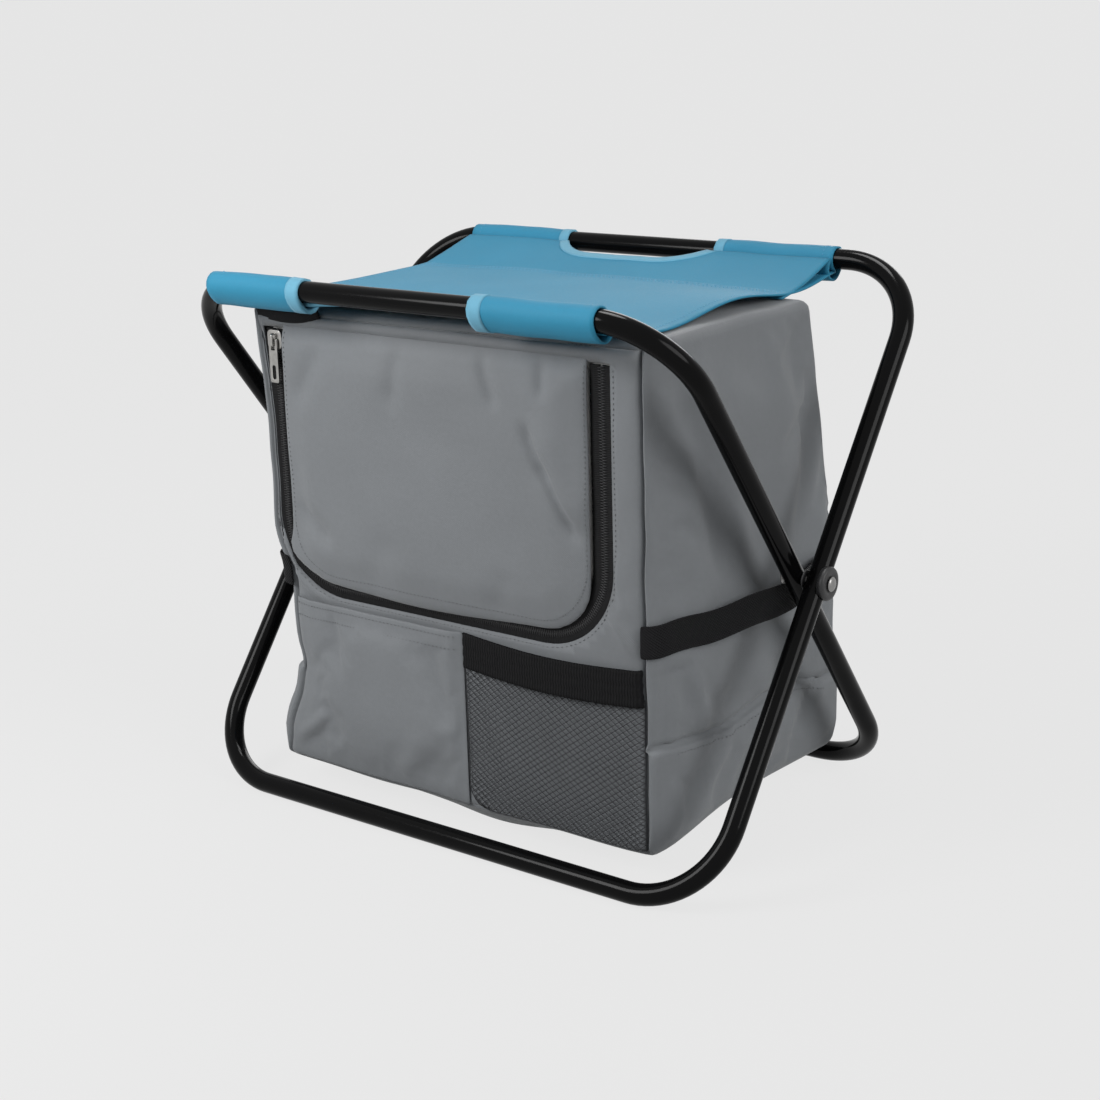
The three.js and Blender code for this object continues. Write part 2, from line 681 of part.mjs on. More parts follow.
function zipPull() {
  const half = PULL_W / 2;
  const top = PULL_BAR / 2;
  const shape = roundedRectangle(-half, top - PULL_L, half, top, PULL_BAR);
  const eye = BAIL_W / 2 + PULL_FIT;
  shape.holes.push(rectangle(-eye, -top - PULL_EYE_L, eye, -top));
  const r = PULL_HOLE_W / 2;
  const low = top - PULL_L + PULL_W / 2 - r;
  shape.holes.push(roundedRectangle(-r, low, r, low + PULL_HOLE_L, r));
  return extrudeY(shape, BAIL_Y - PULL_T / 2, BAIL_Y + PULL_T / 2);
}

place(slider, 'zip_slider', zipSlider(), MATERIALS.slider);
place(slider, 'zip_pull', zipPull(), MATERIALS.slider);

// Pockets, sewn flat on the front panel under the flap: plain cloth at the left, and at the
// right a diamond net gathered into an elastic band
const POCKET_TOP = ZIP_LOW_Z - TAPE_OUT - POCKET_DROP;
const POCKET_LOW = FRONT_LOW;
const POCKET_BACK_Y = -BAG_FRONT - FIT;
const flatPocket = rectangle(-FRONT_HALF, POCKET_LOW, POCKET_SPLIT - FIT, POCKET_TOP);
const elasticBand = rectangle(POCKET_SPLIT, POCKET_TOP - ELASTIC_H, FRONT_HALF, POCKET_TOP);

function pocketNet() {
  const high = POCKET_TOP - ELASTIC_H - FIT;
  const width = FRONT_HALF - POCKET_SPLIT;
  const height = high - POCKET_LOW;
  const halfX = MESH_PITCH_X / 2;
  const halfZ = MESH_PITCH_Z / 2;
  const columns = Math.floor((width - 2 * MESH_HEM) / halfX) - 1;
  const rows = Math.floor((height - 2 * MESH_HEM) / halfZ) - 1;
  const firstX = POCKET_SPLIT + width / 2 - (columns - 1) * halfX / 2;
  const firstZ = POCKET_LOW + height / 2 - (rows - 1) * halfZ / 2;
  const net = rectangle(POCKET_SPLIT, POCKET_LOW, FRONT_HALF, high);
  for (let row = 0; row < rows; row += 1) {
    for (let column = row % 2; column < columns; column += 2) {
      const x = firstX + column * halfX;
      const z = firstZ + row * halfZ;
      const gapX = halfX - MESH_STRAND;
      const gapZ = halfZ - MESH_STRAND;
      net.holes.push(polygon([[x - gapX, z], [x, z - gapZ], [x + gapX, z], [x, z + gapZ]]));
    }
  }
  return net;
}

function pocketSheet(outline, thickness) {
  return extrudeY(outline, POCKET_BACK_Y - thickness, POCKET_BACK_Y);
}

place(bag, 'flat_pocket', pocketSheet(flatPocket, POCKET_T), MATERIALS.bag);
place(bag, 'mesh_pocket', pocketSheet(pocketNet(), POCKET_T), MATERIALS.webbing);
place(bag, 'pocket_elastic', pocketSheet(elasticBand, ELASTIC_T), MATERIALS.webbing);

// Side straps: webbing that starts at the front seam, goes round the bag's corner and is sewn
// to its side near both ends, bowed out between them to the inner leg just under the pivot
function sideStrap() {
  const sewnX = BAG_HALF + FIT + STRAP_T / 2;
  const legX = INNER_HALF_WIDTH - TUBE_CORNER_R - FIT - STRAP_T / 2;
  const legY = STRAP_DROP * Math.tan(LEG_TILT);
  const z = PIVOT_Z - STRAP_DROP;
  const cornerY = BAG_CORNER_R - BAG_FRONT;
  const backY = backAt(z + STRAP_W / 2, SKIN) - STRAP_END;
  const bendFront = cornerY + STRAP_SEWN;
  const bendBack = backY - STRAP_SEWN;
  const middleFront = (bendFront + legY) / 2;
  const middleBack = (bendBack + legY) / 2;
  const line = new THREE.Path();
  line.absarc(FRONT_HALF, cornerY, sewnX - FRONT_HALF, -Math.PI / 2, 0);
  line.lineTo(sewnX, bendFront);
  line.bezierCurveTo(sewnX, middleFront, legX, middleFront, legX, legY);
  line.bezierCurveTo(legX, middleBack, sewnX, middleBack, sewnX, bendBack);
  line.lineTo(sewnX, backY);
  const band = ribbon(line.getPoints(STRAP_STEPS), STRAP_T);
  return extrudeZ(band, z - STRAP_W / 2, z + STRAP_W / 2);
}

placePair(bag, 'side_strap', sideStrap(), MATERIALS.webbing);

export default stool;
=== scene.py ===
"""Folding cooler stool: looks for its tube frame, slung seat and insulated bag, in metres."""

import bmesh
import bpy
import json
import math
from mathutils import Matrix, Vector, noise


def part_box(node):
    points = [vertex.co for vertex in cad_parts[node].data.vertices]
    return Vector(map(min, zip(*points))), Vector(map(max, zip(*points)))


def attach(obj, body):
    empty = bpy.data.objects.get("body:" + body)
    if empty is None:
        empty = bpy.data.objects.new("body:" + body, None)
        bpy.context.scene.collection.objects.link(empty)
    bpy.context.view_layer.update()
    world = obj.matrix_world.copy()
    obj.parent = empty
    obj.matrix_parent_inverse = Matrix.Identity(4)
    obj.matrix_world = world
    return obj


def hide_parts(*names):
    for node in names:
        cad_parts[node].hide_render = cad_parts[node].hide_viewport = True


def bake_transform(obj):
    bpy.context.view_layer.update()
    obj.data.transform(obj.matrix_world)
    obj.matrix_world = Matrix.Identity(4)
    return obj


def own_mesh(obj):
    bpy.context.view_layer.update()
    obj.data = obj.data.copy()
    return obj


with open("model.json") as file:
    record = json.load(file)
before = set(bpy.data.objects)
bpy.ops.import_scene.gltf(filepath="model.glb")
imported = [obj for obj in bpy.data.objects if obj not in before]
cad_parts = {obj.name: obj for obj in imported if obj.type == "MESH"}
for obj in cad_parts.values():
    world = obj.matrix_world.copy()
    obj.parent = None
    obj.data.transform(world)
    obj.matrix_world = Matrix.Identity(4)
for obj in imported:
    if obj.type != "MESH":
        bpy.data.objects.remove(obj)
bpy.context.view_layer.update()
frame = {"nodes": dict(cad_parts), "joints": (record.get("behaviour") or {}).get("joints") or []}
scene = bpy.context.scene
scene.view_settings.view_transform = "Standard"


# Floor and studio: a plain pale floor, an even sky, a soft key from the front left and a weaker
# fill from the right, so that the colours below come out about as they are written. A last lamp
# from above only puts the gloss on the tubes.
FLOOR_HALF = 400
FLOOR_PALE = 0.87
FLOOR_MATT = 0.42
FLOOR_GLOW = 0.86
FAR_PALE = 0.775
SKY_LEVEL = 0.33
LAMPS_AIM = Vector((0, 0, 0.18))
KEY_WATTS = 8.6
KEY_FROM = Vector((-0.40, -0.88, 0.74))
KEY_ACROSS = 0.55
FILL_LEVEL = 1.5
FILL_FROM = Vector((0.95, 0.0, 0.72))
FILL_SPREAD = math.radians(34)
BACK_LEVEL = 0.7
BACK_FROM = Vector((-0.35, 1.0, 0.55))
BACK_SPREAD = math.radians(30)
TOP_WATTS = 10.0
TOP_FROM = Vector((-0.15, 0.20, 1.5))
TOP_ACROSS = 0.5


def linked(name, data):
    """A new object, shown in the scene, that holds this mesh, lamp or camera."""
    made = bpy.data.objects.new(name, data)
    scene.collection.objects.link(made)
    return made


def mesh_object(name, bm):
    """The finished bmesh as a smooth-shaded object."""
    mesh = bpy.data.meshes.new(name)
    for face in bm.faces:
        face.smooth = True
    bm.to_mesh(mesh)
    bm.free()
    return linked(name, mesh)


def pale(tree, kind, level):
    """A plain grey shader of this kind."""
    made = tree.nodes.new(kind)
    made.inputs["Color"].default_value = (level, level, level, 1)
    return made


def by_ray(tree, lights, shows, share):
    """A mix of what lights the stool and what rays to the background show, by this share."""
    rays = tree.nodes.new("ShaderNodeLightPath")
    shown = rays.outputs["Is Camera Ray"]
    for kind in ("Is Glossy Ray", "Is Transmission Ray"):
        either = tree.nodes.new("ShaderNodeMath")
        either.operation = "MAXIMUM"
        tree.links.new(shown, either.inputs[0])
        tree.links.new(rays.outputs[kind], either.inputs[1])
        shown = either.outputs[0]
    part = tree.nodes.new("ShaderNodeMath")
    part.operation = "MULTIPLY"
    part.inputs[1].default_value = share
    mix = tree.nodes.new("ShaderNodeMixShader")
    tree.links.new(shown, part.inputs[0])
    for socket, source in enumerate((part, lights, shows)):
        tree.links.new(source.outputs[0], mix.inputs[socket])
    return mix.outputs[0]


floor_bm = bmesh.new()
bmesh.ops.create_grid(floor_bm, x_segments=1, y_segments=1, size=FLOOR_HALF)
floor = mesh_object("floor", floor_bm)
floor_paint = bpy.data.materials.new("floor_paint")
floor_paint.use_nodes = True
tree = floor_paint.node_tree
tree.nodes.clear()
matt = pale(tree, "ShaderNodeBsdfDiffuse", FLOOR_MATT)
glow = pale(tree, "ShaderNodeEmission", FLOOR_PALE)
out = tree.nodes.new("ShaderNodeOutputMaterial")
tree.links.new(by_ray(tree, matt, glow, FLOOR_GLOW), out.inputs["Surface"])
floor.data.materials.append(floor_paint)

scene.world = bpy.data.worlds.new("studio")
scene.world.use_nodes = True
tree = scene.world.node_tree
sky = tree.nodes["Background"]
sky.inputs["Color"].default_value = (1, 1, 1, 1)
sky.inputs["Strength"].default_value = SKY_LEVEL
far_wall = pale(tree, "ShaderNodeBackground", FAR_PALE)
tree.links.new(by_ray(tree, sky, far_wall, 1.0), tree.nodes["World Output"].inputs["Surface"])


def lamp(name, kind, level, place, **settings):
    """A lamp at a place, aimed at the middle of the stool."""
    data = bpy.data.lights.new(name, kind)
    data.energy = level
    for setting, value in settings.items():
        setattr(data, setting, value)
    made = linked(name, data)
    made.location = place
    made.rotation_euler = (LAMPS_AIM - place).to_track_quat("-Z", "Y").to_euler()
    return made


lamp("key", "AREA", KEY_WATTS, KEY_FROM, shape="DISK", size=KEY_ACROSS)
lamp("fill", "SUN", FILL_LEVEL, FILL_FROM, angle=FILL_SPREAD)
lamp("back", "SUN", BACK_LEVEL, BACK_FROM, angle=BACK_SPREAD)
lamp("gloss", "AREA", TOP_WATTS, TOP_FROM, shape="DISK", size=TOP_ACROSS).visible_diffuse = False


# Camera: to the right of the stool's front and a little above it, as in the photograph. Its place
# and lens were fitted to the frame's bars and feet there.
EYE = Vector((0.71707, -0.94684, 0.50555))
EYE_AZIMUTH = math.radians(37.095)
EYE_ELEVATION = math.radians(16.346)
EYE_ROLL = math.radians(-1.577)
SENSOR_MM = 36
LENS_MM = 63.06
back = Vector((
    math.sin(EYE_AZIMUTH) * math.cos(EYE_ELEVATION),
    -math.cos(EYE_AZIMUTH) * math.cos(EYE_ELEVATION),
    math.sin(EYE_ELEVATION),
))
level = Vector((0, 0, 1)).cross(back).normalized()
turn = Matrix.Rotation(EYE_ROLL, 3, back)
axes = Matrix((turn @ level, turn @ back.cross(level), back)).transposed()
lens = bpy.data.cameras.new("camera")
lens.sensor_width = SENSOR_MM
lens.lens = LENS_MM
scene.camera = linked("camera", lens)
scene.camera.matrix_world = Matrix.Translation(EYE) @ axes.to_4x4()


# Frame loops: two closed loops of bent steel tube, welded, ground and powder-coated gloss black.
# The outer one runs from the front foot bar to the back top bar, the narrower inner one the
# other way, and they cross at the pivots.
TUBE_RADIUS = 0.0065
BEND_RADIUS = 0.052
LEG_LOWER = 0.2035
LEG_UPPER = 0.2117
LEG_TILT = math.radians(37.48)
LOOP_STEP = 0.01485
OUTER_HALF = 0.1955
INNER_HALF = OUTER_HALF - LOOP_STEP
PIVOT = Vector(next(j["pos_m"] for j in frame["joints"] if j["name"] == "frame_fold"))
BAR_Y = LEG_UPPER * math.sin(LEG_TILT)
BAR_Z = PIVOT.z + LEG_UPPER * math.cos(LEG_TILT)
WELD = 1e-5


class Value:
    """One value in a material. Operators on it add Math nodes, and node() adds any other node."""

    def __init__(self, tree, socket):
        self.tree = tree
        self.socket = socket

    def node(self, kind, inputs, output=0, **settings):
        made = self.tree.nodes.new(kind)
        for name, setting in settings.items():
            setattr(made, name, setting)
        for key, given in inputs.items():
            if isinstance(given, Value):
                self.tree.links.new(given.socket, made.inputs[key])
            else:
                made.inputs[key].default_value = given
        return Value(self.tree, made.outputs[output])

    def math(self, operation, first, second=0.0):
        return self.node("ShaderNodeMath", {0: first, 1: second}, operation=operation)

    def waves(self, length):
        """A sine wave along this value, one turn to each length."""
        return self.math("SINE", self * (2 * math.pi / length))

    def __add__(self, other):
        return self.math("ADD", self, other)

    def __sub__(self, other):
        return self.math("SUBTRACT", self, other)

    def __rsub__(self, other):
        return self.math("SUBTRACT", other, self)

    def __mul__(self, other):
        return self.math("MULTIPLY", self, other)

    __radd__ = __add__
    __rmul__ = __mul__


class Finish:
    """A material: its shader, and the place on the surface that its patterns are drawn from."""

    def __init__(self, name, place="Object", **constants):
        self.material = bpy.data.materials.new(name)
        self.material.use_nodes = True
        self.tree = self.material.node_tree
        self.shader = self.tree.nodes["Principled BSDF"]
        self.at = Value(self.tree, self.tree.nodes.new("ShaderNodeTexCoord").outputs[place])
        for socket, constant in constants.items():
            self.shader.inputs[socket.replace("_", " ")].default_value = constant

    def noise(self, size, detail=2.0, roughness=0.5):
        """Soft noise from 0 to 1 whose blotches are about this many metres across."""
        inputs = {"Vector": self.at, "Scale": 1 / size, "Detail": detail, "Roughness": roughness}
        return self.at.node("ShaderNodeTexNoise", inputs)

    def axes(self):
        """The place on the surface as its first two coordinates."""
        split = self.at.node("ShaderNodeSeparateXYZ", {0: self.at}).socket.node
        return [Value(self.tree, split.outputs[i]) for i in (0, 1)]

    def drive(self, socket, value):
        self.tree.links.new(value.socket, self.shader.inputs[socket])

    def colour(self, factor, first, second):
        """A base colour that runs from one colour to another."""
        inputs = {0: factor, 6: (*first, 1), 7: (*second, 1)}
        self.drive("Base Color", factor.node("ShaderNodeMix", inputs, output=2, data_type="RGBA"))

    def bump(self, height, distance, strength=1.0):
        inputs = {"Height": height, "Distance": distance, "Strength": strength}
        self.drive("Normal", height.node("ShaderNodeBump", inputs))

    def on(self, *objects):
        for made in objects:
            made.data.materials.clear()
            made.data.materials.append(self.material)


powder_coat = Finish("powder_coat", Coat_Roughness=0.10, Coat_IOR=1.3, Specular_IOR_Level=0.03)
handled = powder_coat.noise(0.03, detail=4)
powder_coat.colour(handled, (0.002, 0.002, 0.0022), (0.004, 0.004, 0.0042))
powder_coat.drive("Roughness", 0.09 + handled * 0.10)
powder_coat.drive("Coat Weight", 0.34 - handled * 0.20)
powder_coat.bump(powder_coat.noise(0.0011, detail=1), 0.00006, 0.35)


def tube_loop(name, half_width, tilt):
    """A loop of round tube: bar, bend and leg in turn, then tilted about the pivots."""
    bm = bmesh.new()
    upright = Matrix.Translation((0, 0, LEG_UPPER)) @ Matrix.Rotation(math.pi / 2, 4, "Y")
    bmesh.ops.create_circle(bm, segments=40, radius=TUBE_RADIUS, matrix=upright)
    ring = list(bm.verts) + list(bm.edges)
    straight_x = half_width - BEND_RADIUS
    straight_z = LEG_UPPER + LEG_LOWER - 2 * BEND_RADIUS
    top, foot = LEG_UPPER - BEND_RADIUS, BEND_RADIUS - LEG_LOWER
    corners = [
        (straight_x, top, Vector((1, 0, 0)), straight_x),
        (straight_x, foot, Vector((0, 0, -1)), straight_z),
        (-straight_x, foot, Vector((-1, 0, 0)), 2 * straight_x),
        (-straight_x, top, Vector((0, 0, 1)), straight_z),
    ]
    for corner_x, corner_z, along, reach in corners:
        ring = bmesh.ops.spin(bm, geom=ring, angle=0, steps=6, dvec=along * reach / 6)["geom_last"]
        ring = bmesh.ops.spin(
            bm, geom=ring, cent=(corner_x, 0, corner_z), axis=(0, 1, 0), angle=math.pi / 2, steps=20
        )["geom_last"]
    bmesh.ops.spin(bm, geom=ring, angle=0, steps=3, dvec=Vector((straight_x / 3, 0, 0)))
    bmesh.ops.remove_doubles(bm, verts=bm.verts, dist=WELD)
    bmesh.ops.recalc_face_normals(bm, faces=bm.faces)
    bm.transform(Matrix.Translation(PIVOT) @ Matrix.Rotation(tilt, 4, "X"))
    return mesh_object(name, bm)


def fixed(made, body, slot, *nodes):
    """Ties a piece to the body it moves with, and hides the CAD pieces that it stands for. The slot
    is not used.
    """
    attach(made, body)
    if nodes:
        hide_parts(*nodes)


outer_tube = tube_loop("outer_loop", OUTER_HALF, -LEG_TILT)
inner_tube = tube_loop("inner_loop", INNER_HALF, LEG_TILT)
powder_coat.on(outer_tube, inner_tube)
fixed(outer_tube, "outer_frame", "tube_paint", "outer_frame_tube")
fixed(inner_tube, "inner_frame", "tube_paint", "inner_frame_tube")


# Pivots: a plated rivet through both legs, with a domed head at each end, a thin washer
# between the legs, and on the outside a moulded black cap that saddles the tube.
RIVET_RADIUS = 0.0025
HEAD_RADIUS = 0.0045
HEAD_HIGH = 0.0018
WASHER_RADIUS = 0.006
WASHER_EASE = 0.0004
CAP_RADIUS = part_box("pivot_cap_right")[1].z / 2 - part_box("pivot_cap_right")[0].z / 2
CAP_DEEP = 0.0042
CAP_BORE = 0.0028
CAP_RECESS = 0.0052
SADDLE_PLAY = 0.0003

moulded = Finish("moulded_plastic")
moulded.colour(moulded.noise(0.006, detail=3), (0.011, 0.011, 0.012), (0.018, 0.018, 0.019))
moulded.drive("Roughness", 0.42 + moulded.noise(0.004, detail=3) * 0.15)
moulded.bump(moulded.noise(0.0006), 0.00005, 0.5)

plated = Finish("plated_steel", Metallic=1.0)
tarnish = plated.noise(0.002, detail=5)
plated.colour(tarnish, (0.20, 0.20, 0.20), (0.32, 0.315, 0.305))
plated.drive("Roughness", 0.26 + tarnish * 0.18)


def turned(profile, segments=48):
    """A piece turned about the X axis from its half profile of (x, radius) points."""
    bm = bmesh.new()
    verts = [bm.verts.new((x, 0, radius)) for x, radius in profile]
    edges = [bm.edges.new(pair) for pair in zip(verts, verts[1:])]
    bmesh.ops.spin(
        bm, geom=verts + edges, axis=(1, 0, 0), angle=2 * math.pi, steps=segments, use_merge=True
    )
    bmesh.ops.remove_doubles(bm, verts=bm.verts, dist=WELD / 10)
    return bm


def dome(base_x, way, steps=7):
    """Half profile of a rivet's domed head, from its edge to its crown."""
    turns = [i / steps * math.pi / 2 for i in range(steps + 1)]
    return [(base_x + way * HEAD_HIGH * math.sin(t), HEAD_RADIUS * math.cos(t)) for t in turns]


def rivet(low, high):
    """The rivet, from the crown of one head to the other's."""
    low, high = low + HEAD_HIGH, high - HEAD_HIGH
    shank = [(low, RIVET_RADIUS), (high, RIVET_RADIUS)]
    return turned(dome(low, -1)[::-1] + shank + dome(high, 1))


def washer(low, high):
    """The washer between the legs, its outer edges eased."""
    rim, ease = WASHER_RADIUS - WASHER_EASE, 0.0003
    return turned([
        (low, RIVET_RADIUS), (low, rim), (low + ease, WASHER_RADIUS),
        (high - ease, WASHER_RADIUS), (high, rim), (high, RIVET_RADIUS),
    ])


def saddle_cap(_, crown):
    """The cap, its inner face hollowed to sit on the tube."""
    bm = turned([
        (crown - CAP_DEEP, CAP_BORE), (crown - CAP_DEEP, CAP_RADIUS), (crown - 0.0014, CAP_RADIUS),
        (crown - 0.0004, CAP_RADIUS - 0.0006), (crown, CAP_RADIUS - 0.0020),
        (crown, CAP_RECESS + 0.0006), (crown - 0.0004, CAP_RECESS), (crown - 0.0004, CAP_BORE),
    ])
    for vert in bm.verts:
        if vert.co.x < crown - 0.95 * CAP_DEEP:
            over = max(0, (TUBE_RADIUS + SADDLE_PLAY) ** 2 - vert.co.y ** 2)
            vert.co.x = max(vert.co.x, OUTER_HALF + math.sqrt(over))
    return bm


tilted = Matrix.Translation(PIVOT) @ Matrix.Rotation(-LEG_TILT, 4, "X")
for side, sign in (("right", 1), ("left", -1)):
    for name, make, finish, slot in (
        ("rivet", rivet, plated, "rivet_steel"),
        ("spacer", washer, moulded, "black_plastic"),
        ("cap", saddle_cap, moulded, "black_plastic"),
    ):
        bm = make(*sorted(corner.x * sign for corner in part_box(f"pivot_{name}_{side}")))
        bm.transform(tilted @ Matrix.Diagonal((sign, 1, 1, 1)))
        bmesh.ops.recalc_face_normals(bm, faces=bm.faces)
        made = mesh_object(f"pivot_{name}.{side}", bm)
        finish.on(made)
        fixed(made, "outer_frame", slot, f"pivot_{name}_{side}")


# Seat sling: one length of blue coated polyester that goes over the front bar, across the bag's
# top and over the back bar. Each end is turned back under its bar and sewn down as a sleeve, and
# a rounded hand-hold is cut in each sleeve, its edge bound with a paler tape.
SEAT_WIDTH = 0.288
SEAT_MIDDLE = -0.008
SEAT_THICK = 0.0012
SLEEVE_RADIUS = TUBE_RADIUS + 0.0015
SLEEVE_SLACK = 0.0072
SEAT_Z = 0.3238
SEAT_WAVE = 0.0042
SEAT_SAG = 0.002
SEAT_UNEVEN = 0.0009
SLEEVE_PUCKER = 0.0006
SEAM_FRONT_Y = -BAR_Y + 0.044
SEAM_BACK_Y = BAR_Y - 0.069
LAP_DROP = 0.0022
CLOTH_STEP = 0.003
BINDING_THICK = 0.0024
SEAT_BLUE = (0.034, 0.250, 0.403)
BINDING_BLUE = (0.15, 0.40, 0.55)


def tangent(point, centre, radius, way):
    """Where a line from the point touches the circle, on its left or its right."""
    away = point - centre
    spread = way * math.acos(radius / away.length)
    return centre + Matrix.Rotation(spread, 2) @ (away.normalized() * radius)


def arc(centre, first, last, way, step=0.2):
    """Points round a circle from one point on it to another, turning left or right."""
    start = math.atan2(*(first - centre).yx)
    sweep = (math.atan2(*(last - centre).yx) - start) * way % (2 * math.pi) * way
    count = max(2, round(abs(sweep) / step))
    reach = (first - centre).length
    turns = [start + sweep * i / count for i in range(count + 1)]
    return [centre + Vector((math.cos(t), math.sin(t))) * reach for t in turns]


def sleeve_line(side, seam_y):
    """Section of a sleeve in (y, z): from its seam under the bar, round it and over to the seam."""
    bar = Vector((side * BAR_Y, BAR_Z))
    down_leg = Vector((-side * math.sin(LEG_TILT), -math.cos(LEG_TILT))) * SLEEVE_SLACK
    slack = bar + down_leg
    outward = Vector((-down_leg.y, down_leg.x)).normalized() * SLEEVE_RADIUS * side
    outward = outward if outward.x * side > 0 else -outward
    seam_low = Vector((seam_y, SEAT_Z - LAP_DROP))
    seam_high = Vector((seam_y, SEAT_Z))
    under = tangent(seam_low, slack, SLEEVE_RADIUS, -side)
    over = tangent(seam_high, bar, SLEEVE_RADIUS, side)
    line = [seam_low, *arc(slack, under, slack + outward, side)]
    return line + [*arc(bar, bar + outward, over, side), seam_high]


def evenly(line, step):
    """The same line with its points an even step apart, and its length."""
    lengths = [(b - a).length for a, b in zip(line, line[1:])]
    total = sum(lengths)
    count = round(total / step)
    points, leg, passed = [], 0, 0.0
    for i in range(count + 1):
        want = total * i / count
        while leg < len(lengths) - 1 and passed + lengths[leg] < want:
            passed += lengths[leg]
            leg += 1
        share = (want - passed) / lengths[leg]
        points.append(line[leg].lerp(line[leg + 1], min(share, 1)))
    return points, total


def relaxed(line, passes):
    """The line with its kinks eased, its ends kept."""
    for _ in range(passes):
        inner = [(a + 2 * b + c) / 4 for a, b, c in zip(line, line[1:], line[2:])]
        line = [line[0], *inner, line[-1]]
    return line


def on_line(line, share):
    """The point at this share of an even line's length, and its place counted in points."""
    at = min(max(share, 0), 1) * (len(line) - 1)
    i = min(int(at), len(line) - 2)
    return line[i].lerp(line[i + 1], at - i), at


seat_line, SEAT_LENGTH = evenly(
    sleeve_line(-1, SEAM_FRONT_Y) + sleeve_line(1, SEAM_BACK_Y)[::-1], CLOTH_STEP
)
seat_line = relaxed(seat_line, 3)


def seat_place(u, v):
    """Where a point of the flat cut lies: u across the seat, v along it from the front seam.

    Between the bars its right edge waves, its left edge sags, and both sleeves pucker a little.
    """
    y, z = on_line(seat_line, v / SEAT_LENGTH)[0]
    x = SEAT_MIDDLE + u
    free = max(0, 1 - abs((y - 0.01) / 0.112) ** 3)
    right, left = max(0, (u - 0.02) / 0.124) ** 2, max(0, (-u - 0.05) / 0.094) ** 2
    z += free * right * SEAT_WAVE * math.sin((y + 0.035) / 0.028)
    z -= free * left * SEAT_SAG
    z += free * SEAT_UNEVEN * noise.noise((x / 0.045, y / 0.06, 3.0))
    roll = 1 - free
    y += roll * SLEEVE_PUCKER * noise.noise((x / 0.03, 7.0, z / 0.02))
    z += roll * SLEEVE_PUCKER * noise.noise((x / 0.025, 1.0, z / 0.03))
    return Vector((x, y, z))


def round_box(u, v, hole):
    """Signed distance from the edge of a rounded hole, below 0 inside it, and the way out of it."""
    middle_u, middle_v, half_u, half_v, corner = hole
    out_u = abs(u - middle_u) - half_u + corner
    out_v = abs(v - middle_v) - half_v + corner
    way = Vector((max(out_u, 0), max(out_v, 0)))
    if way.length == 0:
        way = Vector((1, 0)) if out_u > out_v else Vector((0, 1))
        gap = max(out_u, out_v) - corner
    else:
        gap = way.length - corner
        way.normalize()
    way.x *= math.copysign(1, u - middle_u)
    way.y *= math.copysign(1, v - middle_v)
    return gap, way


def hold_in(cut_low, cut_high, edge_y, corner):
    """A hand-hold in the flat cut: its place across the seat, and along it to the same y twice."""
    rows = [i for i, p in enumerate(seat_line) if (p.x - edge_y) * edge_y > 0]
    first, last = (SEAT_LENGTH * row / (len(seat_line) - 1) for row in (rows[0], rows[-1]))
    middle, half = (cut_low + cut_high) / 2 - SEAT_MIDDLE, (cut_high - cut_low) / 2
    return middle, (first + last) / 2, half, (last - first) / 2, corner


FRONT_HOLD = hold_in(-0.077, 0.052, 0.029 - BAR_Y, corner=0.024)
BACK_HOLD = hold_in(-0.069, 0.050, BAR_Y - 0.031, corner=0.036)


def keep_cut(bm):
    """Stores where each corner of the flat cloth lies as its UV, in metres."""
    cut = bm.loops.layers.uv.verify()
    for face in bm.faces:
        for loop in face.loops:
            loop[cut].uv = loop.vert.co.xy


def without(bm, faces):
    """Takes these faces out of a mesh."""
    bmesh.ops.delete(bm, geom=faces, context="FACES")


def flat_grid(width, length, step_u, step_v):
    """A flat grid in XY, its first row on the X axis."""
    bm = bmesh.new()
    bm.loops.layers.uv.new("cut")
    bmesh.ops.create_grid(
        bm, x_segments=round(width / step_u), y_segments=round(length / step_v), size=0.5,
        matrix=Matrix.Diagonal((width, length, 1, 1)) @ Matrix.Translation((0, 0.5, 0)),
    )
    return bm


def flat_cut(width, length, step):
    """A flat piece of cloth, with its place on the roll as its UV map."""
    bm = flat_grid(width, length, step, step)
    keep_cut(bm)
    return bm


def laid(name, bm, place):
    """The object of a flat cut, each of its points (u, v) moved to its place."""
    for vert in bm.verts:
        vert.co = place(*vert.co.xy)
    bmesh.ops.recalc_face_normals(bm, faces=bm.faces)
    return mesh_object(name, bm)


def thicken(made, thickness, offset=0.0):
    """Gives a sheet its thickness, to both sides of it or to one."""
    wall = made.modifiers.new("thickness", "SOLIDIFY")
    wall.thickness = thickness
    wall.offset = offset
    wall.use_even_offset = False


def woven(name, colour, thread, relief=0.00012, mottle=0.12, roughness=0.72, sheen=0.25,
          gloss=0.35):
    """Plain-woven cloth: crossing threads drawn on its flat cut, and a soft mottle of dye."""
    made = Finish(name, "UV", Sheen_Weight=sheen, Sheen_Roughness=0.4, Specular_IOR_Level=gloss)
    across, along = made.axes()
    basket = across.waves(thread) * along.waves(thread)
    slub = made.noise(thread * 3, detail=3, roughness=0.7)
    dye = made.noise(0.06, detail=3)
    shade = [tuple(c * k for c in colour) for k in (1 - mottle, 1 + mottle)]
    made.colour(0.5 + (dye - 0.5) * 0.9 + (slub - 0.5) * 0.9 + basket * 0.12, *shade)
    made.drive("Roughness", roughness - 0.1 + slub * 0.2)
    made.bump(basket * 0.5 + slub * 1.2, relief, 0.6)
    return made


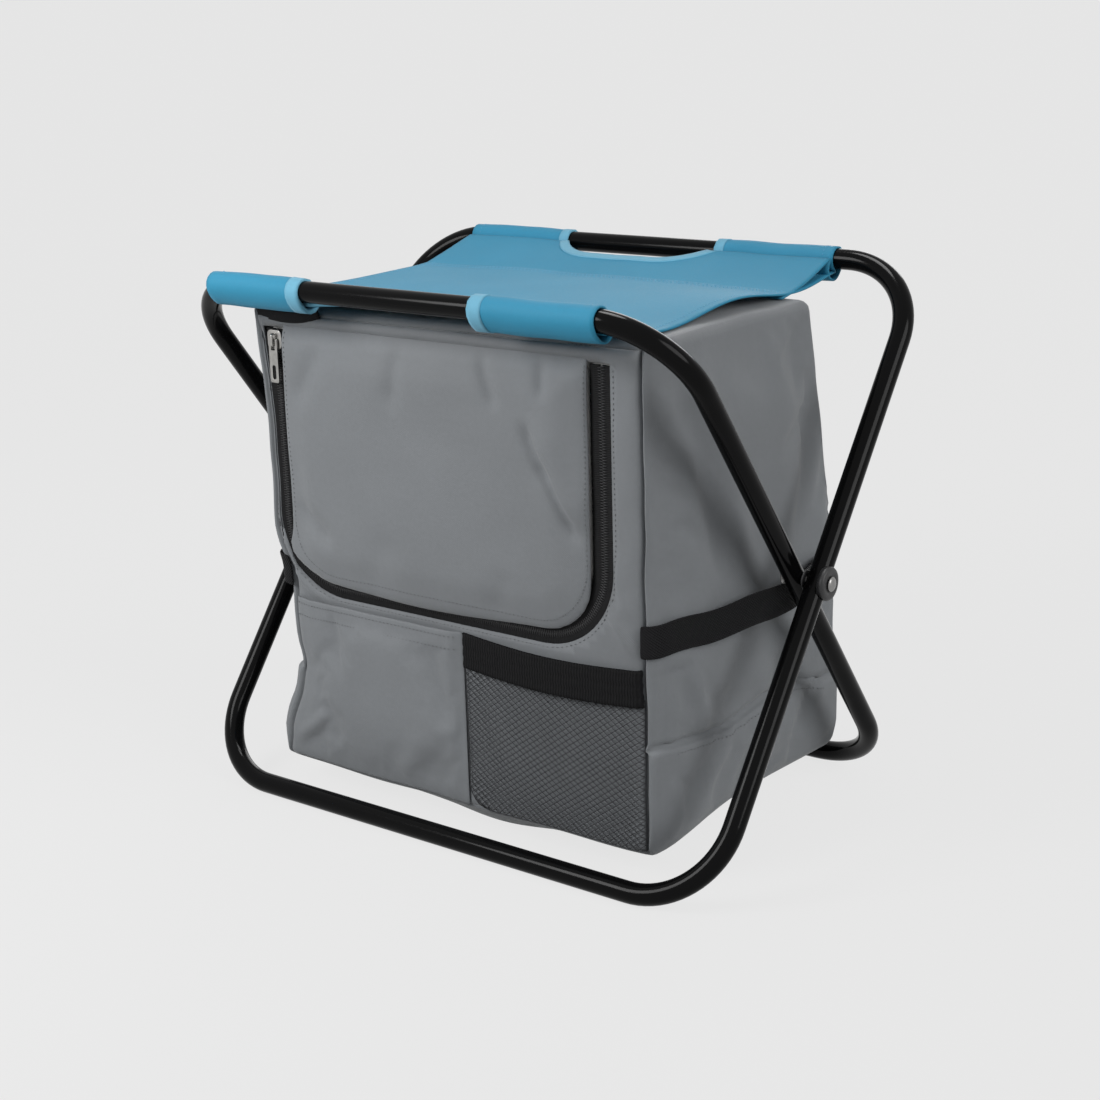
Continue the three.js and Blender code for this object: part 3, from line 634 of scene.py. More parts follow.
seat_bm = flat_cut(SEAT_WIDTH, SEAT_LENGTH, CLOTH_STEP)
for hold in (FRONT_HOLD, BACK_HOLD):
    gone = [f for f in seat_bm.faces if round_box(*f.calc_center_median().xy, hold)[0] < 0]
    without(seat_bm, gone)
    rim = [v for v in seat_bm.verts
           if v.is_boundary and abs(round_box(*v.co.xy, hold)[0]) < 2 * CLOTH_STEP]
    for vert in rim:
        gap, way = round_box(*vert.co.xy, hold)
        vert.co.xy -= gap * way
    ring = {v for r in rim for e in r.link_edges for v in e.verts if not v.is_boundary}
    bmesh.ops.smooth_vert(seat_bm, verts=list(ring), factor=0.5, use_axis_x=True, use_axis_y=True)
keep_cut(seat_bm)
for vert in seat_bm.verts:
    vert.co = seat_place(*vert.co.xy)
seat = mesh_object("seat_cloth", seat_bm)
thicken(seat, SEAT_THICK)
seat_polyester = woven(
    "seat_polyester", SEAT_BLUE, 0.0009, mottle=0.08, roughness=0.60, sheen=0.03, gloss=0.20
)
seat_polyester.on(seat)


def binding(name, hold, width):
    """Tape folded over the edge of a hand-hold: a ring of the flat cut, a little proud of it."""
    bm = bmesh.new()
    bm.loops.layers.uv.new("cut")
    middle_u, middle_v, half_u, half_v, corner = hold
    edge = []
    for quarter, (sign_u, sign_v) in enumerate(((1, 1), (-1, 1), (-1, -1), (1, -1))):
        centre = Vector((
            middle_u + sign_u * (half_u - corner), middle_v + sign_v * (half_v - corner)
        ))
        turns = [(quarter + i / 10) * math.pi / 2 for i in range(11)]
        edge += [(centre, Vector((math.cos(t), math.sin(t)))) for t in turns]
    fine = []
    for (c0, d0), (c1, d1) in zip(edge, edge[1:] + edge[:1]):
        parts = max(1, round((c1 - c0).length / 0.004))
        fine += [(c0.lerp(c1, i / parts), d0.lerp(d1, i / parts)) for i in range(parts)]
    rows = [[bm.verts.new((*(c + d * (corner + reach)), 0)) for c, d in fine]
            for reach in (-0.0004, width * 0.2, width * 0.5, width * 0.8, width)]
    for inner, outer in zip(rows, rows[1:]):
        loops = [bm.edges.get(pair) or bm.edges.new(pair)
                 for row in (inner, outer) for pair in zip(row, row[1:] + row[:1])]
        bmesh.ops.bridge_loops(bm, edges=loops)
    keep_cut(bm)
    made = laid(name, bm, seat_place)
    thicken(made, BINDING_THICK)
    return made


bindings = [
    binding("hand_hold_binding.front", FRONT_HOLD, 0.0088),
    binding("hand_hold_binding.back", BACK_HOLD, 0.0065),
]
binding_tape = woven("binding_tape", BINDING_BLUE, 0.0012, mottle=0.06, sheen=0.1, gloss=0.25)
binding_tape.on(*bindings)


# Seat stitching: blue polyester thread, machine-sewn. A double row runs along each sleeve's seam
# and a single row along each side hem.
STITCH = 0.0030
HEM_IN = 0.007
FRONT_ROWS = (-0.004, -0.0085)
BACK_ROWS = (0.003, 0.0075)
THREAD_BLUE = (0.10, 0.36, 0.56, 1)


def stitches(name, rows, gauge, lift):
    """Rows of stitches. Each row is a list of (place, way out of the cloth)."""
    bm = bmesh.new()
    for row in rows:
        for (start, out), (end, _) in zip(row[::2], row[1::2]):
            along = end - start
            first = bmesh.ops.create_icosphere(bm, subdivisions=1, radius=1)["verts"]
            out = (out - along * out.dot(along) / along.length_squared).normalized()
            across = along.normalized().cross(out)
            axes = Matrix((along * 0.44, across * gauge, out * gauge * 1.3)).transposed().to_4x4()
            middle = Matrix.Translation((start + end) / 2 + out * lift)
            bmesh.ops.transform(bm, matrix=middle @ axes, verts=first)
    return mesh_object(name, bm)


def seat_row(points):
    """A row of the flat cut as places on the seat with their way out."""
    row = []
    for u, v in points:
        here = seat_place(u, v)
        out = (seat_place(u + 0.001, v) - here).cross(seat_place(u, v + 0.001) - here)
        row.append((here, out.normalized() if out.z > 0 else -out.normalized()))
    return row


def seam_rows(seam_y, shifts):
    """Rows across the seat, at these distances along it from a sleeve's seam."""
    turned_under = 12
    upper = range(turned_under, len(seat_line) - turned_under)
    near = min(upper, key=lambda i: abs(seat_line[i].x - seam_y))
    v = SEAT_LENGTH * near / (len(seat_line) - 1)
    count = round(SEAT_WIDTH / STITCH * 2)
    us = [(i / count - 0.5) * (SEAT_WIDTH - 0.004) for i in range(count)]
    return [seat_row([(u, v + shift) for u in us]) for shift in shifts]


seat_rows = seam_rows(SEAM_FRONT_Y, FRONT_ROWS) + seam_rows(SEAM_BACK_Y, BACK_ROWS)
first, last = (round(v / STITCH * 2) for v in (0.095, SEAT_LENGTH - 0.115))
for side in (-1, 1):
    hem_u = side * (SEAT_WIDTH / 2 - HEM_IN)
    seat_rows.append(seat_row([(hem_u, i * STITCH / 2) for i in range(first, last)]))
seat_thread = stitches("seat_stitching", seat_rows, gauge=0.0003, lift=0.0007)
thread_blue = Finish("thread_blue", Base_Color=THREAD_BLUE, Roughness=0.6)
thread_blue.bump(thread_blue.noise(0.0004), 0.0001)
thread_blue.on(seat_thread)

for made in (seat, *bindings, seat_thread):
    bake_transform(made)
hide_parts("seat_sling")


# Bag shell: one wrap of grey coated polyester over foam, sewn into a box that hangs in the frame.
# Its back leans forward above a knee, a hem seam runs round it low down, and its base sags.
BAG_LOW = Vector((
    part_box("bag_side_panel_left")[0].x,
    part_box("bag_front_panel")[0].y,
    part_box("bag_base_panel")[0].z,
))
BAG_HIGH = Vector((
    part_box("bag_side_panel_right")[1].x,
    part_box("bag_back_panel")[1].y,
    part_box("bag_top_panel")[1].z,
))
BAG_SIZE = BAG_HIGH - BAG_LOW
BAG_BACK_TOP_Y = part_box("bag_top_panel")[1].y
BAG_KNEE_Z = 0.130
FRONT_Y = BAG_LOW.y
SEAM_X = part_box("bag_front_panel")[1].x
SEAM_NARROW = 0.0016
SIDE_X = 0.149
SIDE_FROM_X = 0.1405
SLACK_FROM_X = 0.141
CORNER_ROUND = 0.0075
BAG_STEP = 0.0055
BAG_THICK = 0.0014
BAG_GREY = (0.181, 0.192, 0.203)
HEM_Z = 0.082
HEM_LAP = 0.0034
HEM_DIP = 0.0032
HEM_WAVE = 0.0028
HEM_FALL = 0.010
HEM_CUTS = [HEM_Z + shift for shift in (-0.0045, -0.0020, -0.0006, 0.0006, 0.0020, 0.0045)]
SEAM_CUTS = [side * (SEAM_X + shift)
             for side in (-1, 1) for shift in (-0.0035, -0.0015, 0, 0.0015, 0.0035)]
SIDE_FILL = 0.0035
SIDE_TURN_IN = 0.0028
FOOT_ARCH = 0.0070
FOOT_TUCK = 0.0015
BACK_CROWN = 0.0045
BACK_UNEVEN = 0.0020
BACK_RIPPLE = 0.0012
BACK_SEAM_PULL = 0.0024
FRONT_SEAM_PULL = 0.0030
TOP_DIP = 0.0022
BASE_BELLY = 0.0092
LEFT_PULL = 0.013
LEFT_FLARE = 0.006
ZIP_BOW = 0.0028
SIDE_FOLDS = (
    ((-0.075, 0.300), (-0.035, 0.165), 0.010, -0.0042),
    ((-0.058, 0.305), (-0.015, 0.180), 0.009, 0.0030),
    ((0.072, 0.270), (0.045, 0.165), 0.012, -0.0040),
    ((0.085, 0.200), (0.062, 0.110), 0.010, 0.0028),
    ((-0.070, 0.128), (-0.052, 0.088), 0.007, 0.0030),
    ((-0.015, 0.125), (-0.030, 0.090), 0.009, -0.0025),
    ((0.030, 0.130), (0.048, 0.088), 0.010, 0.0026),
    ((-0.040, 0.080), (-0.082, 0.040), 0.009, -0.0020),
    ((-0.082, 0.060), (-0.090, 0.024), 0.006, 0.0020),
    ((0.020, 0.078), (0.004, 0.024), 0.012, 0.0028),
)


def grid_cuts(bm, step, extra=((), (), ())):
    """Cuts a mesh along even planes across X, Y and Z, so that it can bend like cloth."""
    for axis in range(3):
        low = min(v.co[axis] for v in bm.verts)
        high = max(v.co[axis] for v in bm.verts)
        count = round((high - low) / step)
        places = [low + (high - low) * i / count for i in range(1, count)]
        places = [p for p in places if all(abs(p - e) > step / 3 for e in extra[axis])]
        normal = Vector([float(axis == i) for i in range(3)])
        for place in places + list(extra[axis]):
            everything = bm.verts[:] + bm.edges[:] + bm.faces[:]
            bmesh.ops.bisect_plane(bm, geom=everything, plane_co=normal * place, plane_no=normal)


def box_cut(bm):
    """Lays each face flat on the roll by the way it faces, as its UV map in metres."""
    cut = bm.loops.layers.uv.verify()
    for face in bm.faces:
        way = max(range(3), key=lambda i: abs(face.normal[i]))
        first, second = ((1, 2), (0, 2), (0, 1))[way]
        for loop in face.loops:
            loop[cut].uv = (loop.vert.co[first], loop.vert.co[second])


def smooth_step(value, low, high):
    """0 below low, 1 above high, and a smooth ramp between them."""
    t = min(max((value - low) / (high - low), 0), 1)
    return t * t * (3 - 2 * t)


def bell(value, middle, width):
    """1 at the middle, and close to 0 at twice the width from it."""
    return math.exp(-((value - middle) / width) ** 2)


def folds(u, v, rows):
    """Height of the soft folds at a point of the cloth's plane. They fade at both ends.

    Each row is a fold: its first and last point, its width and its height.
    """
    here, height = Vector((u, v)), 0.0
    for first, last, width, rise in rows:
        start = Vector(first)
        along = Vector(last) - start
        t = (here - start).dot(along) / along.length_squared
        away = (here - start - along * min(max(t, 0), 1)).length
        fade = smooth_step(t, -0.15, 0.25) * (1 - smooth_step(t, 0.75, 1.15))
        height += rise * fade * bell(away, 0, width)
    return height


def hem_relief(z):
    """Step of the hem seam: the foot's cloth laps over the upper cloth, which dips to meet it."""
    lap = (1 - smooth_step(z - HEM_Z, -0.001, 0.001)) * smooth_step(z, 0.018, 0.04)
    return HEM_LAP * lap - HEM_DIP * bell(z, HEM_Z + 0.0008, 0.0015)


def hem_wave(y):
    """How far the hem seam rises and falls along a side."""
    return HEM_WAVE * math.sin(y / 0.020) - HEM_FALL * smooth_step(y, 0.03, 0.11)


def side_swell(y, z):
    """How far a side of the bag stands out: filled low down, drawn in by its folds higher up."""
    across = min(1, max(0, 1 - ((y - 0.004) / 0.108) ** 2))
    full = across * smooth_step(z, 0.02, 0.07) * (1 - smooth_step(z, 0.24, 0.315))
    uneven = 0.0010 * noise.noise((y / 0.03, z / 0.04, 1.5))
    return SIDE_FILL * full + folds(y, z, SIDE_FOLDS) + hem_relief(z) + uneven


def left_slack(x, y, z):
    """How far the left front seam is drawn in: most beside the strap, least at the foot."""
    pull = LEFT_PULL * smooth_step(z, 0.035, 0.075) * (1 - smooth_step(z, 0.145, 0.180))
    pull += 0.004 * bell(z, 0.088, 0.010) - 0.003 * (1 - smooth_step(z, 0.018, 0.035))
    reach = 0.06 + 0.062 * smooth_step(z, 0.128, 0.142)
    pull *= smooth_step(-x, reach, SLACK_FROM_X) * (1 - smooth_step(y, -0.05, 0.0))
    flare = LEFT_FLARE * smooth_step(-x, 0.10, SIDE_X) * smooth_step(z, 0.24, 0.315)
    return pull - flare * (1 - smooth_step(y, -0.03, 0.04))


def zip_bow(x, z):
    """How far the doorway's left edge bows out, where the hanging flap pushes its zip aside."""
    return -ZIP_BOW * bell(z, 0.160, 0.012) * smooth_step(-x, 0.09, 0.125)


def slumped(place):
    """A point of the straight box, moved to where the soft bag has it."""
    x, y, z = place
    moved = Vector(place)
    side = smooth_step(abs(x), SIDE_FROM_X, SIDE_X) * math.copysign(1, x)
    back = smooth_step(y, BAG_BACK_TOP_Y - 0.004, BAG_BACK_TOP_Y + 0.002)
    near_front = 1 - smooth_step(y, FRONT_Y + 0.001, FRONT_Y + 0.006)
    upper = smooth_step(z, BAG_HIGH.z - 0.010, BAG_HIGH.z)
    lower = 1 - smooth_step(z, BAG_LOW.z, BAG_LOW.z + 0.010)
    seam = bell(abs(x), SEAM_X, SEAM_NARROW)

    # The sides swell, turn in at the front, and arch up at their foot.
    swell = side_swell(y if x > 0 else y + 0.011, z) * (1 - upper) * (1 - lower)
    turned_in = (1 - smooth_step(y, FRONT_Y + 0.004, FRONT_Y + 0.020)) * (1 - upper)
    arch = bell(y, -0.005, 0.055 if y < 0 else 0.085) * (1 - smooth_step(z, BAG_LOW.z, HEM_Z))
    moved.x += side * swell
    moved.x -= side * SIDE_TURN_IN * turned_in
    moved.x -= side * FOOT_TUCK * arch
    moved.z += FOOT_ARCH * arch * smooth_step(abs(x), 0.125, SIDE_X)
    moved.z += abs(side) * hem_wave(y) * bell(z, HEM_Z, 0.03)

    # The back is crowned between its two seams, and uneven.
    inside = max(0, 1 - (x / 0.145) ** 4)
    crown = BACK_CROWN * max(0, 1 - ((z - 0.15) / 0.14) ** 2) * inside
    ripple = BACK_UNEVEN * noise.noise((x / 0.05, z / 0.045, 8.0))
    ripple += BACK_RIPPLE * math.sin(x / 0.017 + z / 0.05)
    hem = hem_relief(z) * smooth_step(SEAM_X - abs(x), -0.006, 0)
    moved.y += back * (inside * (crown + ripple) + hem)
    moved.y -= back * BACK_SEAM_PULL * seam

    # The top dips in its middle. The base sags, most behind its front edge.
    dip = TOP_DIP * max(0, 1 - (x / 0.13) ** 2) * (1 - (y / 0.1) ** 2)
    moved.z += upper * (0.0012 * noise.noise((x / 0.04, y / 0.04, 2.0)) - dip)
    sag = max(0, 1 - ((x - 0.01) / 0.14) ** 2) * (0.0016 + 0.0008 * math.sin(x / 0.016))
    belly = BASE_BELLY * bell(x, 0.015, 0.075) * (1 - smooth_step(y, 0, 0.09))
    belly *= smooth_step(y, FRONT_Y + 0.005, FRONT_Y + 0.016)
    moved.z -= lower * (sag + belly)

    # The front seams are drawn in and pucker, and the left one hangs slack.
    pucker = 0.0012 * noise.noise((x, z / 0.028, 5.0)) * smooth_step(abs(x), 0.13, SEAM_X)
    moved.y += near_front * FRONT_SEAM_PULL * seam
    moved.x += near_front * pucker
    moved.x += left_slack(x, y, z) + near_front * zip_bow(x, z)
    return moved


def bag_box(inset):
    """The bag's straight form: a box whose back leans in above the knee, with rounded edges."""
    bm = bmesh.new()
    size = BAG_SIZE - Vector((2 * inset, 2 * inset, 2 * inset))
    middle = Matrix.Translation((BAG_LOW + BAG_HIGH) / 2)
    bmesh.ops.create_cube(bm, size=1, matrix=middle @ Matrix.Diagonal((*size, 1)))
    everything = bm.verts[:] + bm.edges[:] + bm.faces[:]
    bmesh.ops.bisect_plane(bm, geom=everything, plane_co=(0, 0, BAG_KNEE_Z), plane_no=(0, 0, 1))
    for vert in bm.verts:
        if vert.co.z > BAG_HIGH.z - inset - 0.001 and vert.co.y > 0:
            vert.co.y = BAG_BACK_TOP_Y - inset
    edges = [e for e in bm.edges if e.calc_face_angle() > 0.1]
    bmesh.ops.bevel(bm, geom=edges, offset=CORNER_ROUND, segments=4, profile=0.5, affect="EDGES",
                    material=-1, clamp_overlap=True)
    return bm


def gridded_box(inset, step, extra=((), (), ())):
    """The straight form cut into a grid of cloth, with its place on the roll as its UV map."""
    bm = bag_box(inset)
    grid_cuts(bm, step, extra)
    bmesh.ops.remove_doubles(bm, verts=bm.verts, dist=WELD)
    bm.normal_update()
    box_cut(bm)
    return bm


def is_front(face):
    return face.normal.y < -0.98 and abs(face.calc_center_median().x) < SEAM_X


bag_bm = gridded_box(0, BAG_STEP, (SEAM_CUTS, (), HEM_CUTS))
front_bm = bag_bm.copy()
without(front_bm, [f for f in front_bm.faces if not is_front(f)])
without(bag_bm, [f for f in bag_bm.faces if is_front(f)])
for vert in bag_bm.verts:
    vert.co = slumped(vert.co)
shell = mesh_object("bag_shell", bag_bm)


def settle(made, sewn, slack, pressure, cap, frames=22):
    """Lets sewn cloth take up its slack by cloth simulation, and keeps the result in its mesh."""
    stays = made.vertex_groups.new(name="sewn")
    for vert in made.data.vertices:
        stays.add([vert.index], sewn(vert.co), "REPLACE")
    cloth = made.modifiers.new("settle", "CLOTH")
    cloth.settings.quality = 6
    cloth.settings.mass = 0.1
    cloth.settings.tension_stiffness = 20
    cloth.settings.compression_stiffness = 20
    cloth.settings.shear_stiffness = 8
    cloth.settings.bending_stiffness = 0.4
    cloth.settings.vertex_group_mass = "sewn"
    cloth.settings.shrink_min = -slack
    cloth.settings.use_pressure = True
    cloth.settings.uniform_pressure_force = pressure
    cloth.settings.effector_weights.gravity = 0
    cloth.collision_settings.use_collision = False
    cloth.point_cache.frame_end = frames
    for number in range(1, frames + 1):
        scene.frame_set(number)
    settled = made.evaluated_get(bpy.context.evaluated_depsgraph_get()).data
    for vert, now in zip(made.data.vertices, [v.co.copy() for v in settled.vertices]):
        moved = now - vert.co
        vert.co += moved * min(1, cap / max(moved.length, 1e-9))
    made.modifiers.remove(cloth)
    made.vertex_groups.remove(stays)
    scene.frame_set(1)


def shell_sewn(place):
    """How firmly the shell is held: at its edges, at the hem and at its foot."""
    x, y, z = place
    edge = max(smooth_step(-y, 0.082, 0.094), smooth_step(z, 0.302, 0.314))
    foot = 1 - smooth_step(z, 0.024, 0.034)
    lean = (BAG_BACK_TOP_Y - BAG_HIGH.y) * smooth_step(z, BAG_KNEE_Z, BAG_HIGH.z)
    from_back = y - BAG_HIGH.y - lean
    upright = smooth_step(abs(x), 0.138, 0.146) * smooth_step(from_back, -0.018, -0.006)
    hem = bell(z, HEM_Z, 0.006) * smooth_step(abs(x), 0.14, 0.146)
    return min(1, max(edge, foot, upright, hem, 0.02))


settle(shell, shell_sewn, slack=0.02, pressure=1.5, cap=0.005)
thicken(shell, BAG_THICK, -1)
bag_polyester = woven("bag_polyester", BAG_GREY, 0.0011, relief=0.00016, mottle=0.10)
bag_polyester.on(shell)


def hang_on_bag(made, slot, *nodes, keep=0.18):
    """A soft piece of the bag's body: it swings with the bag and keeps a mesh of its own."""
    fixed(made, "bag", slot, *nodes)
    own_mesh(made)


hang_on_bag(shell, "bag_cloth", "bag_side_panel_right", "bag_side_panel_left", "bag_top_panel",
            "bag_base_panel", "bag_back_panel")


# Hem stitching: one row of grey thread just under the hem seam, along both sides and the back.
# Rays cast at the finished cloth find where each stitch lies.
FAR = 0.3
HEM_ROW_Z = HEM_Z - 0.0045
HEM_ROW_SIDE = 0.085
HEM_ROW_BACK = 0.132

thread_grey = Finish("thread_grey", Roughness=0.65)
thread_grey.colour(thread_grey.noise(0.006), (0.11, 0.115, 0.12), (0.16, 0.165, 0.17))
thread_grey.bump(thread_grey.noise(0.0004), 0.0001)


def stitch_ends(low, high):
    """Even places from low to high, two to a stitch: where each goes in and comes out."""
    return [low + i * STITCH / 2 for i in range(round((high - low) / STITCH) * 2)]


def sewn_row(made, starts, way):
    """A row for stitches: where straight lines meet a piece, and which way is out of it."""
    graph = bpy.context.evaluated_depsgraph_get()
    met = [made.ray_cast(start, way, depsgraph=graph) for start in starts]
    return [(place, out) for hit, place, out, _ in met if hit]


hem_rows = []
for side in (-1, 1):
    starts = [Vector((side * FAR, y, HEM_ROW_Z + hem_wave(y)))
              for y in stitch_ends(-HEM_ROW_SIDE, HEM_ROW_SIDE)]
    hem_rows.append(sewn_row(shell, starts, Vector((-side, 0, 0))))
starts = [Vector((x, FAR, HEM_ROW_Z)) for x in stitch_ends(-HEM_ROW_BACK, HEM_ROW_BACK)]
hem_rows.append(sewn_row(shell, starts, Vector((0, -1, 0))))
hem_thread = stitches("hem_stitching", hem_rows, gauge=0.00028, lift=0.0002)
thread_grey.on(hem_thread)
hang_on_bag(hem_thread, "bag_cloth")


# Front panel: the same grey cloth, sewn to the wrap at its two upright seams. A doorway with
# rounded lower corners is cut in it for the flap.
ZIP_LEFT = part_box("zip_slider")[0].x / 2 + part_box("zip_slider")[1].x / 2
ZIP_RIGHT = 0.1155
ZIP_LOW_Z = 0.142989
ZIP_ROUND = 0.045
FLAP_TOP_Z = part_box("flap_panel")[1].z
RUN_ON = 0.2
DOOR_OUTSIDE_ZIP = 0.0060
RIM_PIPE_Z = 0.3114
RIM_PIPE = 0.0030
FRONT_FOLDS = (
    ((0.122, 0.200), (0.134, 0.163), 0.0036, 0.0046),
    ((0.119, 0.172), (0.134, 0.142), 0.0040, 0.0050),
    ((0.128, 0.275), (0.131, 0.225), 0.0040, 0.0026),
    ((-0.134, 0.155), (-0.105, 0.134), 0.0035, 0.0020),
)


def outline(left, right, low, corner):
    """An outline in (x, z) with rounded lower corners, run on above the flap's top seam."""
    top = FLAP_TOP_Z + RUN_ON
    return (left + right) / 2, (low + top) / 2, (right - left) / 2, (top - low) / 2, corner


def doorway(outside):
    """The outline at a distance outside the zip's line."""
    left, right = ZIP_LEFT - outside, ZIP_RIGHT + outside
    return outline(left, right, ZIP_LOW_Z - outside, ZIP_ROUND + outside)


def trimmed(bm, edge, keep_inside, top, reach):
    """Cuts an upright sheet to an outline in (x, z): faces past it go, its rim moves onto it."""
    def past(place):
        gap = max(round_box(place.x, place.z, edge)[0], place.z - top)
        return gap if keep_inside else -gap
    without(bm, [f for f in bm.faces if past(f.calc_center_median()) > 0])
    for vert in [v for v in bm.verts if v.is_boundary and abs(past(v.co)) < reach]:
        gap, way = round_box(vert.co.x, vert.co.z, edge)
        if vert.co.z < top - reach:
            vert.co -= Vector((gap * way.x, 0, gap * way.y))
        elif abs(vert.co.z - top) < reach:
            vert.co.z = top


def front_relief(x, z):
    """Soft creases of the front panel beside the zip, and the piped edge of its rim."""
    uneven = 0.0006 * noise.noise((x / 0.03, z / 0.03, 4.0))
    return folds(x, z, FRONT_FOLDS) + RIM_PIPE * bell(z, RIM_PIPE_Z, 0.0038) + uneven


trimmed(front_bm, doorway(DOOR_OUTSIDE_ZIP), keep_inside=False, top=FLAP_TOP_Z, reach=BAG_STEP)
for vert in front_bm.verts:
    lift = 0 if vert.is_boundary else front_relief(vert.co.x, vert.co.z)
    vert.co = slumped(vert.co)
    vert.co.y -= lift
front = mesh_object("bag_front", front_bm)
thicken(front, BAG_THICK, -1)
bag_polyester.on(front)
fixed(front, "bag_front", "bag_cloth", "bag_front_panel")


# Flap: a padded grey panel that closes the doorway. It is sewn along its top, hangs a little over
# the lower half of its zip, and has creased where it is folded down.
FLAP_LEFT = -0.1245
FLAP_RIGHT = 0.1072
FLAP_LOW_Z = 0.1465
FLAP_EDGE = outline(FLAP_LEFT, FLAP_RIGHT, FLAP_LOW_Z, corner=0.034)
FLAP_FLAT = (FLAP_RIGHT - FLAP_LEFT, FLAP_TOP_Z - FLAP_LOW_Z)
FLAP_RIM_Y = FRONT_Y - 0.0013
FLAP_STEP = 0.0035
FLAP_CUT_WIDTH = FLAP_FLAT[0] + 0.02
FLAP_CUT_Z = 0.14
FLAP_PADDING = 0.0040
FLAP_RISE = 0.0016
FLAP_BELLY = 0.0022
FLAP_OVERHANG = 0.0036
FLAP_FOLDS = (
    ((0.066, 0.268), (0.081, 0.238), 0.0042, -0.0052),
    ((0.079, 0.246), (0.099, 0.205), 0.0036, -0.0056),
    ((0.072, 0.268), (0.101, 0.212), 0.0090, 0.0034),
    ((0.033, 0.303), (0.046, 0.276), 0.0036, -0.0034),
    ((-0.028, 0.304), (-0.033, 0.268), 0.0060, -0.0026),
    ((0.076, 0.305), (0.079, 0.284), 0.0036, -0.0032),
    ((-0.112, 0.262), (-0.092, 0.296), 0.0080, -0.0034),
    ((-0.118, 0.196), (-0.088, 0.176), 0.0065, -0.0040),
    ((-0.060, 0.152), (-0.038, 0.186), 0.0100, -0.0012),
    ((0.040, 0.151), (0.052, 0.178), 0.0090, -0.0012),
)


def inside_flap(x, z):
    """How far a point lies inside the flap's edge."""
    return -max(round_box(x, z, FLAP_EDGE)[0], z - FLAP_TOP_Z)


def flap_relief(x, z):
    """How far the flap stands out of its rim: its padding, and the creases across it.

    It lies flatter on the left, where the slider's pull passes over it.
    """
    inside = inside_flap(x, z)
    lift = FLAP_PADDING * smooth_step(inside, 0.0, 0.024)
    lift += FLAP_RISE * smooth_step(inside, 0.0, 0.005)
    lift += FLAP_BELLY * max(0, 1 - ((z - 0.19) / 0.06) ** 2) * max(0, 1 - (x / 0.11) ** 2)
    lift += folds(x, z, FLAP_FOLDS)
    lift *= 1 - 0.7 * (1 - smooth_step(x, FLAP_LEFT, -0.100)) * (1 - smooth_step(z, 0.21, 0.24))
    uneven = 0.0006 * noise.noise((x / 0.035, z / 0.03, 6.0))
    return lift * smooth_step(inside, 0.0, 0.003) + uneven


def flap_place(x, z):
    """A point of the flap's straight cut, where the hanging flap has it."""
    low = 1 - smooth_step(z, 0.147, 0.172)
    left = (1 - smooth_step(x, FLAP_LEFT, -0.095)) * (1 - smooth_step(z, 0.166, 0.182))
    lift = flap_relief(x, z)
    x += zip_bow(x, z) - FLAP_OVERHANG * left * (1 + 0.3 * math.sin(z / 0.006))
    z -= low * (0.0022 * math.sin((x + 0.075) / 0.036) + 0.0010)
    tuck = smooth_step(z, FLAP_TOP_Z - 0.007, FLAP_TOP_Z)
    return Vector((x, FLAP_RIM_Y - lift * (1 - tuck) + 0.0022 * tuck, z + 0.0028 * tuck))


def flap_cut(edge, top):
    """An upright sheet, cut to an outline below its top seam."""
    bm = flat_cut(FLAP_CUT_WIDTH, top - FLAP_CUT_Z, FLAP_STEP)
    upright = Matrix.Rotation(math.pi / 2, 4, "X")
    bm.transform(Matrix.Translation((FLAP_EDGE[0], 0, FLAP_CUT_Z)) @ upright)
    trimmed(bm, edge, keep_inside=True, top=top, reach=FLAP_STEP)
    return bm


def flap_sewn(place):
    """How firmly the flap is held: round its edge, and where the pull passes over it."""
    inside = inside_flap(place.x, place.z)
    under_pull = (1 - smooth_step(place.x, -0.117, -0.100)) * (1 - smooth_step(place.z, 0.21, 0.24))
    return max(1 - smooth_step(inside, 0.001, 0.007), under_pull, 0.02)


def smoothed(made):
    """Rounds a sheet off by one level of subdivision."""
    fine = made.modifiers.new("smooth", "SUBSURF")
    fine.levels = fine.render_levels = 1


flap_bm = flap_cut(FLAP_EDGE, FLAP_TOP_Z)
for vert in flap_bm.verts:
    vert.co = flap_place(vert.co.x, vert.co.z)
flap = mesh_object("flap", flap_bm)
settle(flap, flap_sewn, slack=0.022, pressure=1.2, cap=0.0045)
thicken(flap, BAG_THICK, 1)
smoothed(flap)
bag_polyester.on(flap)
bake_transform(flap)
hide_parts("flap_panel")


# Zip: a black coil zip sewn round the doorway in a U. One tape and row of coils stays on the front
# panel, the other goes with the flap. A row of grey stitches holds each tape to its panel.
ZIP_Y = (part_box("zip_tape_body")[0].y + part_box("zip_tape_body")[1].y) / 2
TAPE_WIDTH = 0.0080
TAPE_GAP = 0.0004
TAPE_THICK = 0.0006
TAPE_STEP = 0.002
COIL_PITCH = 0.0016
COIL_AWAY = 0.0009
COIL_HALF = (0.0019, 0.0011, 0.00052)
RIM_ROW_Z = FLAP_TOP_Z + 0.0088
RIM_ROW_HALF = 0.128
FRONT_ROW_AWAY = 0.0080
FLAP_ROW_AWAY = -0.0098


def zip_path():
    """The zip's line in (x, z), from the slider's end down, across and up to the blind end."""
    top = FLAP_TOP_Z - 0.001
    low_left = Vector((ZIP_LEFT + ZIP_ROUND, ZIP_LOW_Z + ZIP_ROUND))
    low_right = Vector((ZIP_RIGHT - ZIP_ROUND, ZIP_LOW_Z + ZIP_ROUND))
    across, down = Vector((ZIP_ROUND, 0)), Vector((0, -ZIP_ROUND))
    line = [Vector((ZIP_LEFT, top))]
    line += arc(low_left, low_left - across, low_left + down, 1, 0.1)
    line += arc(low_right, low_right + down, low_right + across, 1, 0.1)
    return evenly(line + [Vector((ZIP_RIGHT, top))], COIL_PITCH)


zip_line, ZIP_LENGTH = zip_path()


